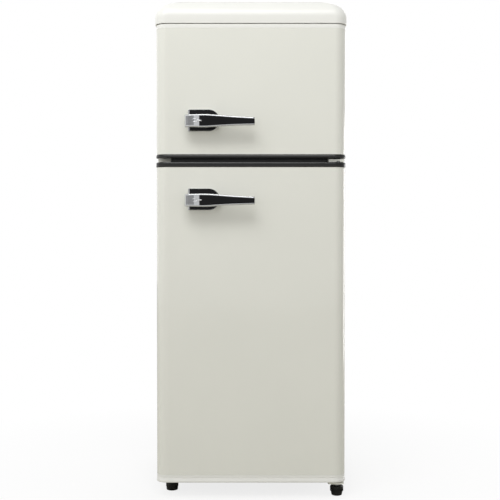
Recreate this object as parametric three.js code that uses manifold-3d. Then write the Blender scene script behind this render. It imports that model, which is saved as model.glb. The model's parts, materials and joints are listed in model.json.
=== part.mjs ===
import * as THREE from "three";
import { mergeVertices } from "three/addons/utils/BufferGeometryUtils.js";
import Module from "manifold-3d";

const wasm = await Module();
wasm.setup();

// A two-door refrigerator with a freezer above and a fridge below, in millimetres.
// X runs to the right, Y to the back and Z up. The floor is Z = 0 and the doors face -Y.

const gap = 0.3; // left between neighbouring pieces
const sheet = 1.2; // steel sheet of the cabinet and the door skins
const liner = 1.5; // formed plastic of the inner walls

const cabinet = { side: 235, front: -177, back: 248, floor: 42, roof: 1175 };
const flange = 203; // how near to the middle the side panels' front edges reach
const bay = { front: 88, ceiling: 232, rear: 243 }; // compressor bay, open to the back
const freezerRoom = { side: 190, floor: 868, ceiling: 1136, back: 195 };
const fridgeRoom = { side: 195, floor: 90, ceiling: 811, back: 200, stepTop: 270, stepFront: 50 };
const roomCorner = 14; // radius of the inner walls' long corners
const midRail = { low: 829, high: 850.7 };

const door = { side: 235, front: -238, back: -186, corner: 28, chamfer: 5, foldReach: 225 };
const trimProud = 1.8; // how far the black end caps stand out of the door skins
const freezerDoor = { low: 845, high: 1174.2, lowCap: 8.2, highCap: 10, seal: [851, 1168], bossLow: 842 };
const fridgeDoor = { low: 38.5, high: 834, lowCap: 18.5, highCap: 12, seal: [56, 828], bossLow: 37.3 };
const ridge = { clearance: 12, depth: 41, width: 16 }; // runs round the inside of each door
const gasket = { outer: 215, width: 14, front: -185.7, back: -177.3 };
const bin = { back: -99, wall: 2.2, sideGap: 4 };
const freezerBins = { bin: [905, 970] };
const fridgeBins = { upper_bin: [600, 665], middle_bin: [372, 440], bottle_bin: [126, 232] };

const topCover = {
  side: 238, front: -239.5, back: 250, low: 1175.3, high: 1236, edge: 45, corner: 30, wall: 5,
};
const hinge = { x: 216, y: -206, pin: 4, hole: 4.3, reach: 16, tabLeft: 195, armLeft: 192.5, armFront: -231 };
const midHingeLips = [[192.5, 212.5], [220, 231]]; // turned down along the front of the arm
const foot = { leftX: -202, leftY: -156, rearX: 205, rearY: 215, stud: 5 };

const handle = { baseLeft: -154.5, roundCentre: -103.5, halfHeight: 26.6, baseFront: -246 };
const lever = { left: -162, tip: 9.4, front: -276, back: -263, curl: 16, fillet: 12 };
const insert = { left: -126, rim: 4, recess: 2.4, sunk: 1 }; // the dark panel let into the lever
const handleHeights = { freezer: 936, fridge: 742 };
const leverDrop = { freezer: 3.6, fridge: 2.6 }; // how far the lever's middle is below the base's

const shelf = { side: 192, front: -90, back: 195, glass: 4, ledge: 11 };
const shelfHeights = { freezer: 1000, upper: 600, lower: 430 };
const wireGrid = { side: 187, front: -92, back: 190, wires: 15, frame: 2.5, wire: 1.5 };
const dial = { x: 120, z: 791, radius: 17 };
const coil = { reach: 160, bottom: 340, pitch: 72, runs: 11, y: 269.5, tube: 3, riser: 212, rear: 276 };
const compressor = { x: 40, y: 166, radius: 60 };
const gland = { x: -150, z: 60 }; // where the mains cord would leave

// Finishes: colour, roughness and metalness.
const cream = [0xe6e5d8, 0.25, 0];
const black = [0x151517, 0.35, 0];
const chrome = [0xd9dadc, 0.08, 1];
const steel = [0x9aa0a4, 0.4, 1];
const white = [0xf2f3f1, 0.4, 0];
const clear = [0xdfeaf0, 0.1, 0];
const foam = [0xe8d9a8, 0.9, 0];
const copper = [0xb87333, 0.3, 1];
const rubber = [0xc9cac6, 0.7, 0];

// ---- solids ----

function solidOf(geometry) {
  geometry.deleteAttribute("normal");
  geometry.deleteAttribute("uv");
  const merged = mergeVertices(geometry, 1e-4);
  const corners = merged.index.array;
  const kept = [];
  for (let i = 0; i < corners.length; i += 3) {
    const [a, b, c] = corners.slice(i, i + 3);
    if (a !== b && b !== c && c !== a) kept.push(a, b, c); // none of a pole's flat triangles
  }
  const vertProperties = merged.attributes.position.array;
  return new wasm.Manifold(new wasm.Mesh({ numProp: 3, vertProperties, triVerts: new Uint32Array(kept) }));
}

function block([x0, x1], [y0, y1], [z0, z1]) {
  const box = new THREE.BoxGeometry(x1 - x0, y1 - y0, z1 - z0);
  return solidOf(box.translate((x0 + x1) / 2, (y0 + y1) / 2, (z0 + z1) / 2));
}

// An outline pushed out by depth along Z before it is turned. Each arc has twice as many sides as segments.
function extruded(outline, depth, segments = 3) {
  return new THREE.ExtrudeGeometry(outline, { depth, bevelEnabled: false, curveSegments: segments });
}

// An outline in X and Y, standing from z0 up to z1.
function upright(outline, z0, z1, segments) {
  return solidOf(extruded(outline, z1 - z0, segments).translate(0, 0, z0));
}

// An outline in X and Z, running from y0 back to y1.
function facing(outline, y0, y1, segments) {
  return solidOf(extruded(outline, y1 - y0, segments).rotateX(Math.PI / 2).translate(0, y1, 0));
}

// An outline in Y and Z, running from x0 across to x1.
function across(outline, x0, x1, segments) {
  const turn = new THREE.Matrix4().makeBasis(
    new THREE.Vector3(0, 1, 0), new THREE.Vector3(0, 0, 1), new THREE.Vector3(1, 0, 0));
  return solidOf(extruded(outline, x1 - x0, segments).applyMatrix4(turn).translate(x0, 0, 0));
}

// A profile of [radius, height] points, bottom to top, turned about an upright axis at x, y.
function turned(profile, x, y, segments = 24) {
  const points = profile.map(([r, z]) => new THREE.Vector2(r, z));
  return solidOf(new THREE.LatheGeometry(points, segments).rotateX(Math.PI / 2).translate(x, y, 0));
}

// The same about an axis that runs from front to back, with [radius, y] points.
function turnedForward(profile, x, z, segments = 24) {
  const points = profile.map(([r, y]) => new THREE.Vector2(r, y));
  return solidOf(new THREE.LatheGeometry(points, segments).translate(x, 0, z));
}

function rod(radius, x, y, z0, z1, segments) {
  return turned([[0, z0], [radius, z0], [radius, z1], [0, z1]], x, y, segments);
}

// A path that an extrusion follows point by point, with one step for each stretch.
class PointPath extends THREE.Curve {
  constructor(points) {
    super();
    this.points = points;
  }
  getPoint(t) {
    const place = t * (this.points.length - 1);
    const i = Math.min(Math.floor(place), this.points.length - 2);
    return this.points[i].clone().lerp(this.points[i + 1], place - i);
  }
  getPointAt(t) {
    return this.getPoint(t);
  }
  getTangentAt(t) {
    const last = this.points.length - 1;
    const i = Math.round(t * last);
    const before = this.points[Math.max(i - 1, 0)];
    const after = this.points[Math.min(i + 1, last)];
    return after.clone().sub(before).normalize();
  }
}

function tube(points, radius, sides = 6) {
  const section = new THREE.Shape();
  section.absarc(0, 0, radius, 0, 2 * Math.PI);
  const path = new PointPath(points.map((p) => new THREE.Vector3(...p)));
  const steps = points.length - 1;
  return solidOf(new THREE.ExtrudeGeometry(section, {
    steps, bevelEnabled: false, extrudePath: path, curveSegments: sides / 2,
  }));
}

function outlineOf(points) {
  return new THREE.Shape(points.map(([a, b]) => new THREE.Vector2(a, b)));
}

function roundedRect(a0, a1, b0, b1, r) {
  const s = new THREE.Shape();
  s.absarc(a1 - r, b0 + r, r, -Math.PI / 2, 0);
  s.absarc(a1 - r, b1 - r, r, 0, Math.PI / 2);
  s.absarc(a0 + r, b1 - r, r, Math.PI / 2, Math.PI);
  s.absarc(a0 + r, b0 + r, r, Math.PI, 1.5 * Math.PI);
  return s;
}

// ---- pieces ----

const fridge = new THREE.Group();

function piece(name, solid, [color, roughness, metalness]) {
  const { vertProperties, triVerts, numProp, numVert } = solid.getMesh();
  const positions = new Float32Array(numVert * 3);
  for (let i = 0; i < numVert; i++) {
    positions.set(vertProperties.subarray(i * numProp, i * numProp + 3), i * 3);
  }
  const geometry = new THREE.BufferGeometry();
  geometry.setAttribute("position", new THREE.BufferAttribute(positions, 3));
  geometry.setIndex(new THREE.BufferAttribute(triVerts, 1));
  geometry.computeVertexNormals();
  const material = new THREE.MeshStandardMaterial({ color, roughness, metalness });
  const mesh = new THREE.Mesh(geometry, material);
  mesh.name = name;
  fridge.add(mesh);
}

// ---- cabinet ----

// Side panel: flat sheet, folded inwards at the front face and at the back.
function sidePanel(side) {
  const { side: x, front, back, floor, roof } = cabinet;
  const wall = block([x - sheet, x], [front, back], [floor, roof]);
  const frontFold = block([flange, x], [front, front + sheet], [floor, roof]);
  const backFold = block([x - 12, x], [back - sheet, back], [floor, roof]);
  const panel = wall.add(frontFold).add(backFold);
  return side > 0 ? panel : panel.mirror([1, 0, 0]);
}

function topPlate() {
  const { side, front, back, roof } = cabinet;
  const plate = block([-side + sheet + gap, side - sheet - gap], [front + sheet + gap, back - sheet - gap],
    [roof - sheet, roof]);
  const fold = block([-flange + gap, flange - gap], [front, front + sheet + 1], [roof - 20.7, roof]);
  const behindFold = block([-flange, flange], [front + sheet, front + 3], [roof - 21, roof - sheet]);
  return plate.add(fold.subtract(behindFold));
}

// Base plate: one sheet under the fridge room, up the front of the compressor bay and over it.
function basePlate() {
  const { side, front, back, floor } = cabinet;
  const rear = back - sheet - gap;
  const profile = outlineOf([
    [front + sheet + gap, floor], [bay.front, floor], [bay.front, bay.ceiling], [rear, bay.ceiling],
    [rear, bay.ceiling + sheet], [bay.front - sheet, bay.ceiling + sheet],
    [bay.front - sheet, floor + sheet], [front + sheet + gap, floor + sheet],
  ]);
  const fold = block([-flange + gap, flange - gap], [front, front + sheet], [floor, floor + 18]);
  const lip = block([-flange + gap, flange - gap], [front, front + 5], [floor, floor + sheet]);
  const studHole = rod(foot.stud + 0.5, foot.leftX, foot.leftY, floor - 1, floor + 3);
  return across(profile, -side + sheet + gap, side - sheet - gap).add(fold).add(lip).subtract(studHole);
}

function rearPanel() {
  const { side, back, roof } = cabinet;
  const half = side - 12 - gap;
  return block([-half, half], [back - sheet, back], [bay.ceiling + sheet, roof - 1.5]);
}

// The space inside a room, grown by extra on every side, from the front face to its back wall.
function freezerSpace(extra, front) {
  const { side, floor, ceiling, back } = freezerRoom;
  const x = side + extra;
  const outline = roundedRect(-x, x, floor - extra, ceiling + extra, roomCorner + extra);
  return facing(outline, front, back + extra);
}

// The fridge room is shallower below the step that covers the compressor bay.
function fridgeSpace(extra, front) {
  const { side, floor, ceiling, back, stepTop, stepFront } = fridgeRoom;
  const x = side + extra;
  const outline = roundedRect(-x, x, floor - extra, ceiling + extra, roomCorner + extra);
  const step = block([-x - 1, x + 1], [stepFront + extra, back + extra + 1],
    [floor - extra - 1, stepTop - extra]);
  return facing(outline, front, back + extra).subtract(step);
}

// Ledges along both side walls, each with its top at z, that carry a shelf.
function ledges(room, z, back) {
  const right = block([room.side - shelf.ledge, room.side + 0.5], [shelf.front, back], [z - 6, z]);
  return right.add(right.mirror([1, 0, 0]));
}

function linerFrame(low, high) {
  return block([-flange + gap, flange - gap], [cabinet.front, cabinet.front + liner], [low, high]);
}

function freezerLiner() {
  return linerFrame(851, 1154.2)
    .add(freezerSpace(liner, cabinet.front))
    .subtract(freezerSpace(0, cabinet.front - 1))
    .add(ledges(freezerRoom, shelfHeights.freezer - 2.8, freezerRoom.back));
}

function fridgeLiner() {
  const front = cabinet.front;
  return linerFrame(60.3, midRail.low - gap)
    .add(fridgeSpace(liner, front))
    .subtract(fridgeSpace(0, front - 1))
    .add(ledges(fridgeRoom, shelfHeights.upper - gap, fridgeRoom.back))
    .add(ledges(fridgeRoom, shelfHeights.lower - gap, fridgeRoom.back))
    .add(ledges(fridgeRoom, fridgeRoom.stepTop, fridgeRoom.stepFront));
}

// Cooling plates lie against the outside of the liners, in pockets in the foam.
function freezerEvaporator(extra) {
  const back = freezerRoom.back + liner + gap;
  const low = freezerRoom.floor - liner - gap;
  const rear = block([-165 - extra, 165 + extra], [back - extra, back + liner + extra],
    [low - liner - extra, 1110 + extra]);
  const under = block([-165 - extra, 165 + extra], [-60 - extra, back + liner + extra],
    [low - liner - extra, low + extra]);
  return rear.add(under);
}

function fridgeEvaporator(extra) {
  const y = fridgeRoom.back + liner + gap;
  return block([-165 - extra, 165 + extra], [y - extra, y + liner + extra], [320 - extra, 770 + extra]);
}

function insulation() {
  const { side, front, back, floor, roof } = cabinet;
  const half = side - sheet - gap;
  const faceY = front + liner + gap;
  const grown = liner + gap;
  return block([-half, half], [faceY, back - sheet - gap], [floor + sheet + gap, roof - sheet - gap])
    .subtract(block([-half - 1, half + 1], [bay.front - sheet - gap, back], [0, bay.ceiling + sheet + gap]))
    .subtract(freezerSpace(grown, faceY - 1))
    .subtract(fridgeSpace(grown, faceY - 1))
    .subtract(freezerEvaporator(gap))
    .subtract(fridgeEvaporator(gap))
    .subtract(rod(foot.stud + 2, foot.leftX, foot.leftY, floor, 62));
}

function midRailBar() {
  const width = flange - gap;
  return block([-width, width], [cabinet.front, cabinet.front + sheet], [midRail.low, midRail.high]);
}

// The cover's outer form: rounded along all its upper edges and at the corners of its plan.
function coverForm(inset) {
  const { side, front, back, low, high, edge, corner } = topCover;
  const [x, y0, y1, top, r] = [side - inset, front + inset, back - inset, high - inset, edge - inset];
  const z = inset ? low - 1 : low;
  const roofed = (a0, a1) => {
    const s = new THREE.Shape();
    s.moveTo(a0, z);
    s.lineTo(a1, z);
    s.absarc(a1 - r, top - r, r, 0, Math.PI / 2);
    s.absarc(a0 + r, top - r, r, Math.PI / 2, Math.PI);
    return s;
  };
  return facing(roofed(-x, x), y0, y1)
    .intersect(across(roofed(y0, y1), -x, x))
    .intersect(upright(roundedRect(-x, x, y0, y1, corner - inset), z, top));
}

// ---- hinges and feet ----

// A hinge leaf in plan: square at the back and round about the pin.
function hingePlan(left, back) {
  const { reach } = hinge;
  const s = new THREE.Shape();
  s.absarc(hinge.x, hinge.y, reach, Math.PI, 2 * Math.PI);
  s.lineTo(hinge.x + reach, back);
  s.lineTo(left, back);
  s.lineTo(left, hinge.y + 14);
  return s;
}

function hingeHole(radius, z0, z1) {
  return rod(radius, hinge.x, hinge.y, z0, z1);
}

function topHinge() {
  const z = cabinet.roof + gap;
  return upright(hingePlan(hinge.tabLeft, -140), z, z + 3).subtract(hingeHole(hinge.hole, z - 1, z + 4));
}

// A tab flat on the cabinet's front face, low to high, with an arm out to the pin.
function hingeBracket([low, high], [armLow, armHigh], hole) {
  const tab = block([hinge.tabLeft, hinge.x + hinge.reach], [-180.5, cabinet.front - gap], [low, high]);
  const arm = block([hinge.armLeft, hinge.x + hinge.reach], [hinge.armFront, -179], [armLow, armHigh]);
  return tab.add(arm).subtract(hingeHole(hole, armLow - 1, armHigh + 1));
}

function midHinge() {
  const bracket = hingeBracket([830, 849.7], [837.5, 841.5], hinge.hole);
  const [front, back] = [hinge.armFront + 0.2, hinge.armFront + 2.6];
  return midHingeLips.reduce((leaf, [x0, x1]) => leaf.add(block([x0, x1], [front, back], [835, 838])), bracket);
}

// A levelling foot with a blind hole for its stud, widest near its domed top.
function levellingFoot(x, y, low, high, height) {
  const profile = [
    [0, 0], [low - 2, 0], [low, 2], [high, height * 0.62], [high - 0.8, height * 0.78],
    [high - 4, height * 0.92], [9, height], [0, height],
  ];
  return turned(profile, x, y).subtract(rod(foot.stud + gap, x, y, 8, height + 1));
}

function rearFoot(x) {
  return turned([[0, 0], [14, 0], [15, 2], [12, 30], [16, 34], [16, 41.7], [0, 41.7]], x, foot.rearY);
}

// ---- machinery behind the cabinet ----

function compressorBody() {
  const { x, y, radius: r } = compressor;
  const can = turned([
    [0, 56], [r - 16, 58], [r - 4, 70], [r, 86], [r, 112], [r + 2.5, 113], [r + 2.5, 117], [r, 118],
    [r, 150], [r - 6, 170], [r - 22, 184], [0, 190],
  ], x, y, 32);
  let body = can.add(block([x - 72, x + 72], [y - 44, y + 44], [52, 57]));
  for (const dx of [-60, 60]) {
    for (const dy of [-34, 34]) body = body.add(rod(9, x + dx, y + dy, 44.8, 53, 12));
  }
  return body;
}

// Rail under the compressor, with an upstand at the back that holds the cord gland.
function compressorRail() {
  const half = cabinet.side - sheet - gap;
  const { floor } = cabinet;
  return block([-half, half], [bay.front + 4, bay.rear], [floor, floor + 2.5])
    .add(block([-half, half], [bay.rear - 2, bay.rear], [floor, floor + 32]))
    .add(block([-half, half], [bay.front + 4, bay.front + 6], [floor, floor + 14]))
    .subtract(turnedForward([[0, 230], [7, 230], [7, 250], [0, 250]], gland.x, gland.z));
}

function cordGland() {
  return turnedForward([
    [3.6, 232], [8.6, 232], [9, 240.7], [6.6, 240.7], [6.6, 243.3], [10.5, 243.3],
    [9, 250], [3.6, 250], [3.6, 232],
  ], gland.x, gland.z);
}

function openBox([x0, x1], [y0, y1], [z0, z1], wall) {
  return block([x0, x1], [y0, y1], [z0, z1])
    .subtract(block([x0 + wall, x1 - wall], [y0 + wall, y1 - wall], [z0 + wall, z1 + 1]));
}

// Points of a half circle in the plane of the condenser, from one run down to the next.
function bend(x, zTop, turn) {
  const points = [];
  for (let i = 0; i <= 6; i++) {
    const angle = Math.PI * (i / 6);
    const r = coil.pitch / 2;
    points.push([x + turn * r * Math.sin(angle), coil.y, zTop - r + r * Math.cos(angle)]);
  }
  return points;
}

// Condenser: up from the compressor, then back and forth down the back, and down to the drier.
function condenser() {
  const { reach, bottom, pitch, runs, y, riser } = coil;
  const top = bottom + (runs - 1) * pitch;
  const points = [
    [70, 226, 100], [95, 246, 102], [130, 262, 112], [170, y, 132], [198, y, 160], [riser, y, 200],
    [riser, y, top - 16], [riser - 5, y, top - 4], [riser - 16, y, top],
  ];
  for (let i = 0; i < runs - 1; i++) {
    const turn = i % 2 ? 1 : -1;
    points.push(...bend(turn * reach, top - i * pitch, turn));
  }
  points.push([-reach, y, bottom], [-190, y, bottom - 8], [-202, y, bottom - 26], [-202, y, 262]);
  points.push([-192, y - 4, 242], [-170, y - 20, 226], [-146, 222, 222], [-126, 202, 219]);
  let grid = tube(points, coil.tube);
  // Clips hold the outermost points of four bends off the back of the cabinet.
  const clips = [
    [-1, top - pitch / 2], [-1, bottom + 1.5 * pitch], [1, top - 1.5 * pitch], [1, bottom + pitch / 2],
  ];
  for (const [side, z] of clips) {
    const clip = block([reach + 24, reach + 37], [cabinet.back + gap, cabinet.back + 1.8], [z - 9, z + 9])
      .add(block([reach + 34, reach + 37], [cabinet.back + gap, coil.rear], [z - 9, z + 9]));
    grid = grid.add(side > 0 ? clip : clip.mirror([1, 0, 0]));
  }
  return grid;
}

function suctionLine() {
  return tube([
    [compressor.x + 61.5, 150, 140], [122, 152, 140], [140, 164, 141], [149, 186, 146], [151, 215, 156],
    [151, 240, 170], [151, 254, 188], [151, 260, 210], [151, 260, 282], [151, 258, 290], [151, 253, 294],
    [151, 248.6, 294],
  ], 4, 8);
}

function filterDrier() {
  return turned([
    [0, 96], [3, 96], [3, 108], [9, 116], [9, 190], [3, 200], [3, 214], [0, 214],
  ], -122, 200, 16);
}

// ---- inside the rooms ----

function wireShelf() {
  const { side, front, back, wires, frame, wire } = wireGrid;
  const z = shelfHeights.freezer;
  const bar = (x0, x1, y0, y1, height, radius) => tube([[x0, y0, height], [x1, y1, height]], radius);
  let grid = bar(-side, side, (front + back) / 2, (front + back) / 2, z - 0.8, wire);
  for (const y of [front, back]) grid = grid.add(bar(-side, side, y, y, z, frame));
  for (const x of [-side, side]) grid = grid.add(bar(x, x, front - 1.5, back + 1.5, z, frame - 0.1));
  for (let i = 1; i < wires; i++) {
    const x = -side + (2 * side * i) / wires;
    grid = grid.add(bar(x, x, front, back, z + 0.6, wire));
  }
  return grid;
}

function glassPlate(z) {
  return block([-shelf.side, shelf.side], [shelf.front, shelf.back], [z, z + shelf.glass]);
}

function thermostatHousing() {
  return block([60, 180], [-60, 80], [772, fridgeRoom.ceiling - gap])
    .subtract(block([63, 177], [-57, 77], [775, 812]))
    .subtract(turnedForward([[0, -62], [3.6, -62], [3.6, -50], [0, -50]], dial.x, dial.z));
}

function thermostatDial() {
  const r = dial.radius;
  const knob = turnedForward([
    [0, -77], [r - 3, -77], [r - 1, -75], [r, -62], [3, -62], [3, -50], [0, -50],
  ], dial.x, dial.z);
  return knob.add(block([dial.x - 2, dial.x + 2], [-80, -76], [dial.z - 1, dial.z + 15]));
}

// ---- doors ----

// The plan of a door, grown by proud or, when it is negative, drawn in.
function doorPlan(proud, back = door.back) {
  const [x, front, r] = [door.side + proud, door.front - proud, door.corner + proud];
  const s = new THREE.Shape();
  s.moveTo(-x + door.chamfer, back);
  s.lineTo(-x, back - door.chamfer);
  s.absarc(-x + r, front + r, r, Math.PI, 1.5 * Math.PI);
  s.absarc(x - r, front + r, r, 1.5 * Math.PI, 2 * Math.PI);
  s.lineTo(x, back - door.chamfer);
  s.lineTo(x - door.chamfer, back);
  return s;
}

// A rectangular ring facing front to back, width wide, with its outer edge at half and low to high.
function ring(half, low, high, width, y0, y1) {
  return block([-half, half], [y0, y1], [low, high])
    .subtract(block([-half + width, half - width], [y0 - 1, y1 + 1], [low + width, high - width]));
}

// Sheet wrapped round the front and sides, with a narrow fold on the back.
function doorSkin({ low, high, lowCap, highCap }) {
  const [z0, z1] = [low + lowCap + gap, high - highCap - gap];
  return upright(doorPlan(0), z0, z1)
    .subtract(upright(doorPlan(-sheet, door.back - sheet), z0 - 1, z1 + 1))
    .subtract(block([-door.foldReach, door.foldReach], [door.back - 3, door.back + 1], [z0 - 1, z1 + 1]));
}

// End cap: a shallow tray that closes the foam, with a boss for the hinge pin.
function endCap(z0, z1, proud, openUp, bossLow) {
  const wall = 3;
  const [pocketLow, pocketHigh] = openUp ? [z0 + wall, z1 + 1] : [z0 - 1, z1 - wall];
  const boss = rod(9, hinge.x, hinge.y, bossLow, z1);
  return upright(doorPlan(proud), z0, z1)
    .subtract(upright(doorPlan(-wall, door.back - wall), pocketLow, pocketHigh))
    .add(boss)
    .subtract(hingeHole(hinge.hole, z0 - 10, z1 + 1));
}

// The ridge round the inside of a door, drawn in by inset all round, from y0 back to its tip.
function ridgeRing(room, inset, y0) {
  const { clearance, depth, width } = ridge;
  const grown = clearance + inset;
  return ring(room.side - grown, room.floor + grown, room.ceiling - grown, width - 2 * inset,
    y0, door.back + depth - inset);
}

// Inner liner: a plate with a hollow ridge, and lugs that carry the bins.
function doorLiner({ low, high, lowCap, highCap }, room, bins) {
  const { back, foldReach } = door;
  let shell = block([-foldReach + gap, foldReach - gap], [back - liner, back],
    [low + lowCap + gap, high - highCap - gap])
    .add(ridgeRing(room, 0, back - liner))
    .subtract(ridgeRing(room, liner, back - liner - 1));
  const wall = room.side - ridge.clearance - ridge.width;
  for (const [binLow] of bins) {
    const lug = block([wall - 12, wall + 0.5], [back + 12, back + 36], [binLow - 6, binLow - gap]);
    shell = shell.add(lug).add(lug.mirror([1, 0, 0]));
  }
  return shell;
}

function doorFoam({ low, high, lowCap, highCap }, room) {
  const back = door.back - liner - gap;
  return upright(doorPlan(-sheet - gap, back), low + lowCap + gap, high - highCap - gap)
    .add(ridgeRing(room, liner + gap, back - 1));
}

function doorBin([low, high], room) {
  const half = room.side - ridge.clearance - ridge.width - bin.sideGap;
  return openBox([-half, half], [door.back + gap, bin.back], [low, high], bin.wall);
}

// ---- handles ----

function handleBase(z) {
  const [x0, centre, r] = [handle.baseLeft, handle.roundCentre, handle.halfHeight];
  const plate = (inset) => {
    const s = new THREE.Shape();
    s.moveTo(x0 + inset, z - r + inset);
    s.absarc(centre, z, r - inset, -Math.PI / 2, Math.PI / 2);
    s.lineTo(x0 + inset, z + r - inset);
    return s;
  };
  const { baseFront } = handle;
  return facing(plate(0), baseFront, door.front - gap, 8)
    .subtract(facing(plate(3), baseFront - 1, baseFront + 1.2, 8));
}

// The lever seen from the front, inside its edge by inset: it tapers from the head to the tip.
function leverFace(z, inset, left) {
  const s = new THREE.Shape();
  s.moveTo(left, z - 15.5 + inset);
  s.lineTo(-112, z - 16.5 + inset);
  s.lineTo(-80, z - 14.2 + inset);
  s.lineTo(lever.tip - inset, z - 10.8 + inset);
  s.lineTo(lever.tip - inset, z + 8.2 - inset);
  s.lineTo(-80, z + 14.5 - inset);
  s.lineTo(-112, z + 16.5 - inset);
  s.lineTo(left, z + 15.5 - inset);
  return s;
}

// The lever seen from above: a rolled head that comes down to the base, and a straight arm.
function leverPlan() {
  const { left, tip, front, back, curl, fillet } = lever;
  const foot = handle.baseFront - gap;
  const s = new THREE.Shape();
  s.moveTo(left + curl, front);
  s.lineTo(tip - 3, front + 0.6);
  s.lineTo(tip, front + 3);
  s.lineTo(tip, back - 1);
  s.lineTo(-98, back);
  s.absarc(-98, back + fillet, fillet, 1.5 * Math.PI, Math.PI, true);
  s.lineTo(-98 - fillet, foot);
  s.lineTo(left + fillet, foot);
  s.absarc(left + fillet, foot - fillet, fillet, Math.PI / 2, Math.PI);
  s.absarc(left + curl, front + curl, curl, Math.PI, 1.5 * Math.PI);
  return s;
}

function handleLever(z) {
  const form = facing(leverFace(z, 0, lever.left), lever.front, handle.baseFront)
    .intersect(upright(leverPlan(), z - 30, z + 30));
  const recess = facing(leverFace(z, insert.rim, insert.left), lever.front - 1, lever.front + insert.recess);
  return form.subtract(recess);
}

function handleInsert(z) {
  const outline = leverFace(z, insert.rim + gap, insert.left + gap);
  return facing(outline, lever.front + insert.sunk, lever.front + insert.recess - gap);
}

// ---- assembly ----

piece("left_side_panel", sidePanel(-1), cream);
piece("right_side_panel", sidePanel(1), cream);
piece("top_plate", topPlate(), cream);
piece("rear_panel", rearPanel(), steel);
piece("base_plate", basePlate(), steel);
piece("insulation_foam", insulation(), foam);
piece("freezer_liner", freezerLiner(), white);
piece("fridge_liner", fridgeLiner(), white);
piece("mid_rail", midRailBar(), cream);
piece("top_cover", coverForm(0).subtract(coverForm(topCover.wall)), cream);

piece("top_hinge", topHinge(), steel);
piece("top_hinge_pin", hingeHole(hinge.pin, freezerDoor.high - 8.5, cabinet.roof + 7), steel);
piece("mid_hinge", midHinge(), cream);
piece("mid_hinge_pin", hingeHole(hinge.pin, fridgeDoor.high - 8.5, freezerDoor.low + 7.5), steel);
piece("bottom_hinge", hingeBracket([32.4, 53], [32.4, 36.5], foot.stud + 0.4), cream);
piece("rear_left_foot", rearFoot(-foot.rearX), black);
piece("rear_right_foot", rearFoot(foot.rearX), black);

piece("compressor", compressorBody(), black);
piece("compressor_rail", compressorRail(), steel);
piece("relay_cover", block([-62, -23], [143, 189], [88, 136]), black);
piece("drip_tray", openBox([-30, 110], [112, 218], [193, 214], 2.2), black);
piece("filter_drier", filterDrier(), copper);
piece("suction_line", suctionLine(), copper);
piece("condenser_coil", condenser(), black);
piece("cord_gland", cordGland(), black);

piece("freezer_evaporator", freezerEvaporator(0), steel);
piece("fridge_evaporator", fridgeEvaporator(0), steel);
piece("freezer_shelf", wireShelf(), white);
piece("upper_glass_shelf", glassPlate(shelfHeights.upper), clear);
piece("lower_glass_shelf", glassPlate(shelfHeights.lower), clear);
piece("crisper_cover", glassPlate(fridgeRoom.stepTop + gap), clear);
piece("crisper_drawer", openBox([-182, 182], [-92, 45], [fridgeRoom.floor + 1, 256], 2.5), clear);
piece("thermostat_housing", thermostatHousing(), white);
piece("thermostat_dial", thermostatDial(), white);

piece("front_left_foot", levellingFoot(foot.leftX, foot.leftY, 14.5, 16, 22), black);
piece("left_foot_stud", rod(foot.stud, foot.leftX, foot.leftY, 8.4, 58), steel);
piece("front_right_foot", levellingFoot(hinge.x, hinge.y, 13.2, 16.8, 26), black);
const hingeStud = hingeHole(foot.stud, 8.4, 36.9).add(hingeHole(hinge.pin, 36, 54));
piece("bottom_hinge_stud", hingeStud, steel);

const doors = [
  {
    name: "freezer", size: freezerDoor, room: freezerRoom, bins: freezerBins,
    low: { proud: trimProud, finish: black }, high: { proud: 0, finish: cream },
  },
  {
    name: "fridge", size: fridgeDoor, room: fridgeRoom, bins: fridgeBins,
    low: { proud: 0, finish: cream }, high: { proud: trimProud, finish: black },
  },
];

for (const { name, size, room, bins, low, high } of doors) {
  const lowTop = size.low + size.lowCap;
  const highBottom = size.high - size.highCap;
  const seal = ring(gasket.outer, ...size.seal, gasket.width, gasket.front, gasket.back);
  piece(`${name}_door_skin`, doorSkin(size), cream);
  piece(`${name}_door_bottom_cap`, endCap(size.low, lowTop, low.proud, true, size.bossLow), low.finish);
  piece(`${name}_door_top_cap`, endCap(highBottom, size.high, high.proud, false, highBottom), high.finish);
  piece(`${name}_door_foam`, doorFoam(size, room), foam);
  piece(`${name}_door_liner`, doorLiner(size, room, Object.values(bins)), white);
  piece(`${name}_door_gasket`, seal, rubber);
  for (const [part, heights] of Object.entries(bins)) {
    piece(`${name}_door_${part}`, doorBin(heights, room), clear);
  }
  const z = handleHeights[name];
  piece(`${name}_handle_base`, handleBase(z), chrome);
  piece(`${name}_handle_lever`, handleLever(z - leverDrop[name]), chrome);
  piece(`${name}_handle_insert`, handleInsert(z - leverDrop[name]), black);
}

export default fridge;
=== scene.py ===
import json
import math

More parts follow.
